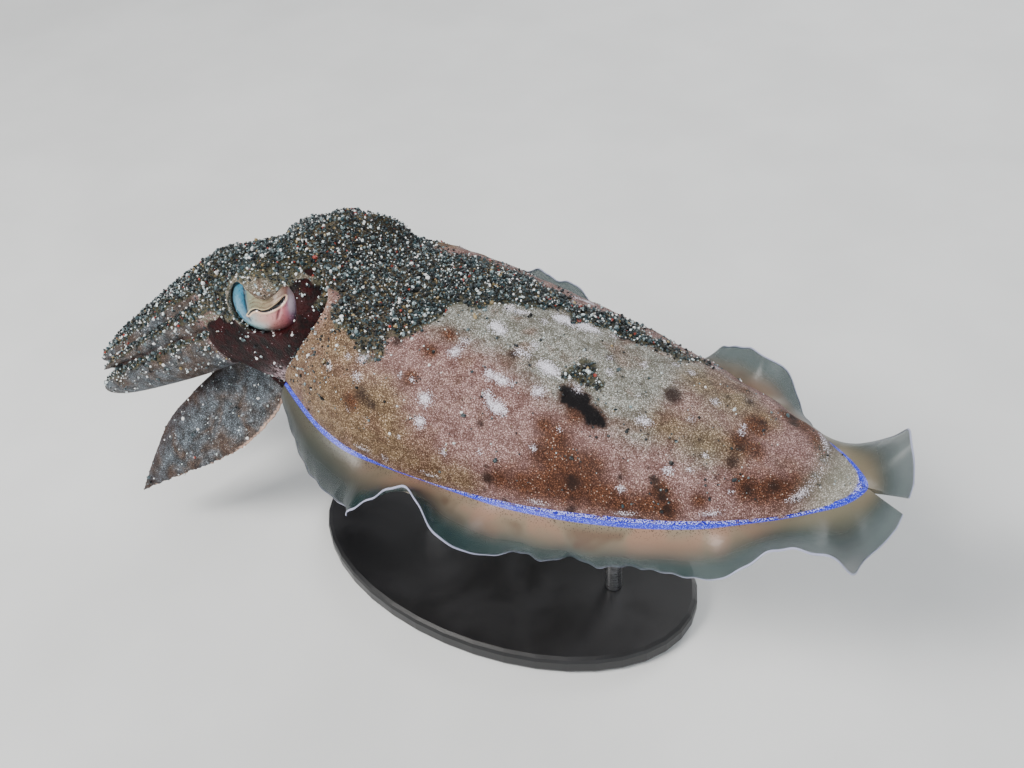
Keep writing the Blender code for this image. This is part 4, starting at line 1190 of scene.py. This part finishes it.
def skin_finish():
    """Moist mottled skin over mantle, head and arms, marked by the fields painted on it."""
    f = Finish("mottled_skin", Specular_IOR_Level=0.16)
    line, arm, wine = f.field("line"), f.field("arm"), f.field("wine")
    patch, small = f.cloud(0.13, 3.0, 0.55, 0.6), f.cloud(0.42, 3.0, 0.6)
    grain, fine = f.cloud(1.9, 3.0, 0.7), f.cloud(4.5, 2.0, 0.6)
    dots, chance, points, flecks = f.cells(3.5), f.cells(3.5, out=1), f.cells(1.25), f.cells(1.6)

    olive = (f.field("olive") + small * 0.5 - 0.25).ramp(0.05, 0.95)
    gold = (f.field("gold") + small * 0.6 - 0.3).ramp(0.05, 1.0)
    rust = (f.field("rust") + small * 0.8 - 0.4).ramp(0.05, 0.85)
    # Each zone has a ground colour and a colour for the fine speckles on it
    ground, light = (0.088, 0.040, 0.033), (0.68, 0.45, 0.43)
    zones = [
        (olive, (0.080, 0.073, 0.052), (0.66, 0.68, 0.65)),
        (gold * 0.9, (0.050, 0.027, 0.010), (0.50, 0.36, 0.20)),
        (patch.ramp(0.52, 0.70) * 0.6, (0.042, 0.018, 0.011), (0.42, 0.25, 0.18)),
        (rust * 0.95, (0.024, 0.0065, 0.0020), (0.31, 0.118, 0.056)),
    ]
    for share, low, high in zones:
        ground = f.mix(share, ground, low)
        light = f.mix(share, light, high)
    speck = dots.ramp(0.54, 0.24) * chance.ramp(0.25, 0.70, 0.15, 1.0)
    mist = f.cells(4.4).ramp(0.62, 0.25)
    cloudy = (grain * 0.7 + small * 0.5).ramp(0.45, 0.85)
    cover = (speck * 0.74 + mist * 0.22 + cloudy * 0.14).maths("MINIMUM", 1.0)
    cover = cover * (1 - rust * 0.25) * small.ramp(0.34, 0.58, 0.62, 1.08)
    colour = f.mix(cover, ground, light)
    colour = f.mix(flecks.ramp(0.24, 0.10) * small.ramp(0.42, 0.60) * 0.7, colour, (0.78, 0.60, 0.50))
    colour = f.mix(points.ramp(0.17, 0.09) * small.ramp(0.56, 0.44) * 0.85, colour, (0.014, 0.007, 0.006))
    spot = (f.field("spot") + grain * 0.6 - 0.3).ramp(0.15, 0.85)
    colour = f.mix(spot * 0.92, colour, (0.016, 0.007, 0.005))
    blotch = f.field("dark") + grain * 0.6 - 0.3
    colour = f.mix(blotch.ramp(0.05, 0.55) * 0.75, colour, (0.040, 0.015, 0.009))
    colour = f.mix(blotch.ramp(0.40, 0.75), colour, (0.0030, 0.0020, 0.0028))
    pale = f.field("pale")
    glint = pale * 1.05 + speck * 0.7 + mist * 0.4 - 0.42
    colour = f.mix(glint.ramp(0.12, 1.00) * pale.ramp(0.02, 0.30) * 0.95, colour, (0.88, 0.85, 0.97))
    cream = f.mix(cover, (0.17, 0.165, 0.125), (0.72, 0.76, 0.70))
    colour = f.mix(f.field("cream") * 0.8, colour, cream)
    rim = f.mix(cover, (0.17, 0.092, 0.066), (0.66, 0.48, 0.41))
    colour = f.mix(f.field("rim") * 0.75, colour, rim)

    grey = f.mix(small.ramp(0.42, 0.62), (0.016, 0.015, 0.016), (0.044, 0.047, 0.052))
    grey = f.mix(patch.ramp(0.5, 0.7) * 0.6, grey, (0.046, 0.020, 0.012))
    pearl = f.mix(patch.ramp(0.4, 0.6), (0.36, 0.44, 0.51), (0.32, 0.24, 0.19))
    grey = f.mix(cover * 0.66, grey, pearl)
    fleck = dots.ramp(0.34, 0.16) * chance.ramp(0.62, 0.70) * small.ramp(0.44, 0.58)
    frost = points.ramp(0.26, 0.10) * small.ramp(0.54, 0.64) + fleck * 0.8
    grey = f.mix(frost.maths("MINIMUM", 1.0) * 0.85, grey, (0.50, 0.58, 0.68))
    # Painted shade along the gaps between the held arms, and the brown margin and tip of the lower blades
    grey = f.mix(f.field("groove") * 0.85, grey, (0.030, 0.009, 0.006))
    grey = f.mix(f.field("edge") * grain.ramp(0.30, 0.50) * 0.85, grey, (0.62, 0.42, 0.33))
    colour = f.mix(arm, colour, grey)

    maroon = f.mix(small.ramp(0.35, 0.65), (0.0022, 0.0002, 0.0004), (0.022, 0.0008, 0.0015))
    maroon = f.mix(points.ramp(0.16, 0.08) * small.ramp(0.52, 0.66), maroon, (0.62, 0.46, 0.50))
    maroon = f.mix(f.field("pale") * flecks.ramp(0.44, 0.60), maroon, (0.70, 0.52, 0.56))
    colour = f.mix((wine + grain * 0.30).ramp(0.30, 0.62), colour, maroon)

    earth = f.mix(grain.ramp(0.35, 0.65), (0.022, 0.021, 0.014), (0.085, 0.080, 0.046))
    colour = f.mix(f.field("sand").ramp(0.12, 0.6) * 0.88, colour, earth)

    belly = f.mix(patch.ramp(0.35, 0.65), (0.40, 0.36, 0.30), (0.30, 0.26, 0.21))
    belly = f.mix(flecks.ramp(0.30, 0.16) * line.ramp(-9.0, -1.5) * 0.8, belly, (0.035, 0.018, 0.012))
    colour = f.mix(line.ramp(-0.2, -1.4), colour, belly)

    half = f.field("half")
    beads = (f.cells(3.4) * 1.3 - grain * 0.5).ramp(0.50, 0.16)
    broken = (grain * 0.35 + f.cloud(0.45, 2.0)).ramp(0.90, 0.74)
    blue = f.mix(beads, (0.014, 0.009, 0.40), (0.60, 0.62, 1.0))
    within = half - (line - 0.12 - half).maths("ABSOLUTE") + fine * 0.3 - 0.15
    stripe = within.ramp(-0.08, 0.10) * broken
    colour = f.mix(stripe, colour, blue)

    f.set("Base Color", colour)
    # Painted light: the blue line emits a faint blue glow though the skin is no lamp
    f.set("Emission Color", f.mix(stripe * beads, (0, 0, 0), (0.10, 0.12, 0.80)))
    f.shader.inputs["Emission Strength"].default_value = 0.30
    f.set("Roughness", grain.ramp(0.2, 0.8, 0.42, 0.62))
    f.bump(dots * -0.30 + flecks * -0.35 + grain * 0.6 + small * 0.7, 0.7, 0.00028)
    return f.material


def fin_finish():
    """A thin film, milky at its root, clear and greenish beyond, with a pale free edge."""
    f = Finish("fin_film", Roughness=0.35, Specular_IOR_Level=0.3)
    reach, line = f.field("reach"), f.field("line")
    station = f.field("station")
    patch, grain, dots = f.cloud(0.10, 2.0, 0.5, 0.5), f.cloud(1.6, 2.0), f.cells(3.2)
    root = f.mix(patch.ramp(0.35, 0.65), (0.28, 0.170, 0.117), (0.21, 0.178, 0.122))
    colour = f.mix(reach.ramp(0.12, 0.82), root, (0.030, 0.060, 0.060))
    front, tail = station.ramp(0.33, 0.15), station.ramp(0.80, 0.92)
    # Painted shade: the front of the fin, beside the head, is darkened with this colour
    front_shade = f.mix(reach.ramp(0.0, 0.6), (0.056, 0.058, 0.044), (0.009, 0.019, 0.021))
    colour = f.mix(front * 0.92, colour, front_shade)
    clear = f.mix(reach.ramp(0.0, 0.55), (0.15, 0.135, 0.090), (0.014, 0.040, 0.041))
    colour = f.mix(tail * 0.85, colour, clear)
    blotch = patch.ramp(0.50, 0.66) * reach.ramp(0.0, 0.2) * reach.ramp(0.7, 0.4)
    colour = f.mix(blotch * (1 - front) * (1 - tail) * 0.6, colour, (0.110, 0.050, 0.036))
    speckle = (dots + reach * 1.1 + tail * 0.2).ramp(0.50, 0.32) * grain.ramp(0.36, 0.52)
    colour = f.mix(speckle * 0.9, colour, (0.018, 0.010, 0.012))
    rim = reach.ramp(0.962, 0.985)
    colour = f.mix(rim, colour, (0.40, 0.41, 0.56))
    beads = f.cells(4.6).ramp(0.5, 0.15)
    stripe = line.ramp(-0.32, -0.12)
    colour = f.mix(stripe, colour, f.mix(beads, (0.012, 0.014, 0.50), (0.28, 0.36, 1.0)))
    f.set("Base Color", colour)
    veil = reach.ramp(0.1, 0.85, 0.98, 0.66) - tail * reach.ramp(0.0, 0.5) * 0.12
    veil = veil + rim * 0.4 + speckle * 0.1
    f.set("Alpha", veil.maths("MINIMUM", 1.0))
    f.bump(grain, 0.25, 0.00018)
    return f.material


def eye_finish():
    """A glossy iris, blue in front and pink behind, round a black wavy pupil with a gold edge."""
    f = Finish("eye_gloss", Coat_Weight=0.6, Coat_Roughness=0.05, Specular_IOR_Level=0.35)
    slit, above, across, up = f.field("slit"), f.field("above"), f.field("across"), f.field("up")
    groove, out = f.field("groove"), f.field("out")
    grain, streak = f.cloud(1.4, 3.0, 0.6), f.cloud(0.5, 3.0, 0.6, 1.2)
    wide = across * 0.0588 + 0.5 + (streak - 0.5) * 0.05
    lower = [
        (0.0, (0.22, 0.43, 0.55)), (0.14, (0.07, 0.28, 0.44)), (0.26, (0.030, 0.15, 0.27)),
        (0.34, (0.36, 0.44, 0.42)), (0.46, (0.58, 0.38, 0.31)), (0.62, (0.68, 0.29, 0.27)),
        (0.76, (0.74, 0.24, 0.27)), (0.86, (0.54, 0.34, 0.56)), (1.0, (0.62, 0.58, 0.80)),
    ]
    upper = [
        (0.0, (0.20, 0.41, 0.54)), (0.16, (0.06, 0.26, 0.40)), (0.27, (0.026, 0.13, 0.22)),
        (0.33, (0.24, 0.27, 0.19)), (0.48, (0.30, 0.26, 0.16)), (0.62, (0.38, 0.28, 0.18)),
        (0.72, (0.56, 0.38, 0.28)), (0.84, (0.52, 0.20, 0.19)), (1.0, (0.50, 0.42, 0.54)),
    ]
    low = f.node("ShaderNodeValToRGB", {"stops": lower}, {0: wide})
    high = f.node("ShaderNodeValToRGB", {"stops": upper}, {0: wide})
    colour = f.mix(above.ramp(-0.3, 0.3), low, high)
    cyan = up.ramp(-3.2, -5.2) * across.ramp(2.0, -2.0)
    colour = f.mix(cyan * 0.7, colour, (0.34, 0.60, 0.62))
    shade = groove.band(0.0, 0.10, 0.32) * up.band(0.2, 3.2, 1.6)
    colour = f.mix(shade * 0.9, colour, (0.004, 0.022, 0.036))
    crease = (across - up * 0.35 - 3.9).band(0.0, 0.06, 0.30)
    colour = f.mix(crease * up.ramp(1.4, 0.8) * up.ramp(-4.0, -2.6) * 0.7, colour, (0.065, 0.016, 0.032))
    for height in (0.95, 1.75, 2.5):
        fold = (above + streak * 1.2 - 0.6).band(height, 0.03, 0.16)
        ends = across.ramp(-3.4, -2.4) * across.ramp(4.6, 3.4)
        colour = f.mix(fold * ends * 0.55, colour, (0.15, 0.075, 0.045))
    # Painted highlight: a pale pink-white vertical streak on the rear of the iris
    painted_highlight = across.band(5.9, 0.25, 0.75) * up.band(0.6, 1.8, 2.2)
    colour = f.mix(painted_highlight * 0.75, colour, (0.92, 0.80, 0.90))
    gold = slit.band(0.20, 0.04, 0.09)
    colour = f.mix(gold, colour, (0.88, 0.68, 0.40))
    under = slit.ramp(0.75, 0.30) * above.ramp(0.0, -0.2) * 0.5
    colour = f.mix(under, colour, (0.70, 0.44, 0.32))
    colour = f.mix(grain.ramp(0.55, 0.8) * 0.25, colour, (0.80, 0.74, 0.72))
    colour = f.mix(slit.ramp(0.06, -0.02), colour, (0.001, 0.001, 0.0015))
    colour = f.mix(out.ramp(1.0, -1.5), colour, (0.03, 0.015, 0.015))
    f.set("Base Color", colour)
    f.set("Metallic", slit.ramp(0.1, 0.3, 0.0, 0.25))
    f.set("Roughness", grain.ramp(0.2, 0.8, 0.24, 0.38))
    f.bump(grain, 0.12, 0.00015)
    return f.material


def grain_finish():
    f = Finish("dark_sand", Roughness=0.32)
    tint = f.node("ShaderNodeAttribute", {"attribute_name": "tint"}, out="Color")
    cloud = f.cloud(6.0, 2.0)
    f.set("Base Color", f.mix(cloud.ramp(0.3, 0.7) * 0.25, tint, (0.05, 0.06, 0.06)))
    f.bump(cloud, 0.3, 0.0001)
    return f.material


def sucker_finish():
    f = Finish("sucker_cups", Roughness=0.4)
    f.set("Base Color", f.mix(f.cloud(1.2, 2.0).ramp(0.3, 0.7), (0.42, 0.35, 0.30), (0.24, 0.17, 0.14)))
    f.bump(f.cloud(4.0, 2.0), 0.2, 0.0001)
    return f.material


def lip_finish():
    f = Finish("lip_flesh", Roughness=0.4)
    f.set("Base Color", f.mix(f.cloud(0.8, 3.0).ramp(0.3, 0.7), (0.36, 0.22, 0.18), (0.16, 0.08, 0.065)))
    f.bump(f.cloud(3.0, 2.0), 0.4, 0.0002)
    return f.material


def base_finish():
    """Satin black with a fine even grain and faint handling marks."""
    f = Finish("satin_black")
    smear = f.cloud(0.05, 4.0, 0.6, 0.8)
    f.set("Base Color", f.mix(smear.ramp(0.3, 0.75), (0.006, 0.006, 0.007), (0.013, 0.013, 0.015)))
    f.set("Roughness", smear.ramp(0.3, 0.7, 0.30, 0.46))
    f.bump(f.cloud(3.0, 3.0, 0.7), 0.15, 0.0001)
    return f.material


def rod_finish():
    """Steel brushed round the rod."""
    f = Finish("brushed_rod", Metallic=1.0)
    stretch = f.node("ShaderNodeVectorMath", {"operation": "MULTIPLY"}, {0: f.place, 1: (0.4, 0.4, 9.0)})
    lines = f.node("ShaderNodeTexNoise", None, {"Vector": stretch, "Scale": 1.0, "Detail": 3.0})
    f.set("Base Color", f.mix(lines.ramp(0.3, 0.7), (0.52, 0.53, 0.55), (0.68, 0.69, 0.71)))
    f.set("Roughness", lines.ramp(0.3, 0.7, 0.22, 0.36))
    f.bump(lines, 0.15, 0.0001)
    return f.material


# Studio


def aim(obj, place, target, roll=0.0):
    ahead = (Vector(target) - Vector(place)).normalized()
    right = ahead.cross(Vector((0, 0, 1))).normalized()
    up = right.cross(ahead)
    c, s = math.cos(roll), math.sin(roll)
    columns = (right * c + up * s, up * c - right * s, -ahead)
    obj.matrix_world = Matrix.Translation(Vector(place)) @ Matrix(columns).transposed().to_4x4()


def studio():
    """A pale floor in a plain room, with three soft lamps and an even light from overhead."""
    bpy.ops.mesh.primitive_plane_add(size=12, location=(0, 0, -0.0002))
    floor = bpy.context.object
    floor.name = "floor"
    f = Finish("pale_floor", Roughness=0.8)
    f.set("Base Color", f.mix(f.cloud(0.02, 3.0).ramp(0.3, 0.7), (0.74, 0.75, 0.75), (0.80, 0.81, 0.81)))
    floor.data.materials.append(f.material)
    world = bpy.data.worlds.new("soft_room")
    bpy.context.scene.world = world
    world.use_nodes = True
    world.node_tree.nodes["Background"].inputs[0].default_value = (0.80, 0.84, 0.88, 1)
    world.node_tree.nodes["Background"].inputs[1].default_value = 0.30
    lights = [
        ("key", (-0.28, -0.42, 0.60), 0.26, 6.9, (1.0, 0.97, 0.93)),
        ("fill", (0.55, -0.45, 0.45), 0.40, 3.0, (0.93, 0.97, 1.0)),
        ("back", (0.10, 0.65, 0.50), 0.40, 3.0, (1.0, 1.0, 1.0)),
    ]
    for name, place, size, power, tint in lights:
        lamp = bpy.data.lights.new(name, "AREA")
        lamp.size, lamp.energy, lamp.color = size, power, tint
        obj = bpy.data.objects.new(name, lamp)
        bpy.context.scene.collection.objects.link(obj)
        aim(obj, place, (0.0, 0.0, 0.06))
    lamp = bpy.data.lights.new("ceiling", "SUN")
    lamp.energy, lamp.angle = 0.5, math.radians(100)
    ceiling = bpy.data.objects.new("ceiling", lamp)
    bpy.context.scene.collection.objects.link(ceiling)


def camera():
    lens = bpy.data.cameras.new("view")
    lens.sensor_width = 36
    lens.lens = CAMERA_LENS
    lens.clip_start = 0.01
    view = bpy.data.objects.new("view", lens)
    bpy.context.scene.collection.objects.link(view)
    aim(view, CAMERA_PLACE, CAMERA_TARGET, CAMERA_ROLL)
    bpy.context.scene.camera = view


def main():
    """Builds every piece, hands it over with its material, and sets up the studio."""
    bpy.ops.object.select_all(action="DESELECT")
    front = front_skin()
    cups = suckers(front)
    mantle = mantle_skin()
    skins = {"head": front, "mantle": mantle}
    layers = [(part, sand(name, skins[part], *kind)) for name, part, *kind in SAND_MESHES]
    skin = joined("skin", [mantle, front])
    flesh = ["mantle", "head", "siphon"] + [f"arm_{n}_{side}" for n in (1, 2, 3, 4) for side in SIDES]
    hand_over(skin, skin_finish(), flesh)
    cup_finish, dust = sucker_finish(), grain_finish()
    hand_over(cups, cup_finish)
    for part, layer in layers:
        hand_over(layer, dust, smooth=False)
    hand_over(mouth(), lip_finish(), ["mouth"])
    film, gloss = fin_finish(), eye_finish()
    for side_name, side in SIDES.items():
        hand_over(fin(side_name), film, [f"fin_{side_name}"])
        hand_over(eye(f"eye_{side_name}_globe", side), gloss, [f"eye_{side_name}"])
    base, rod = base_finish(), rod_finish()
    for name, finish in (("stand_base", base), ("stand_rod_front", rod), ("stand_rod_rear", rod)):
        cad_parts[name].material_slots[0].material = finish
    studio()
    camera()


main()
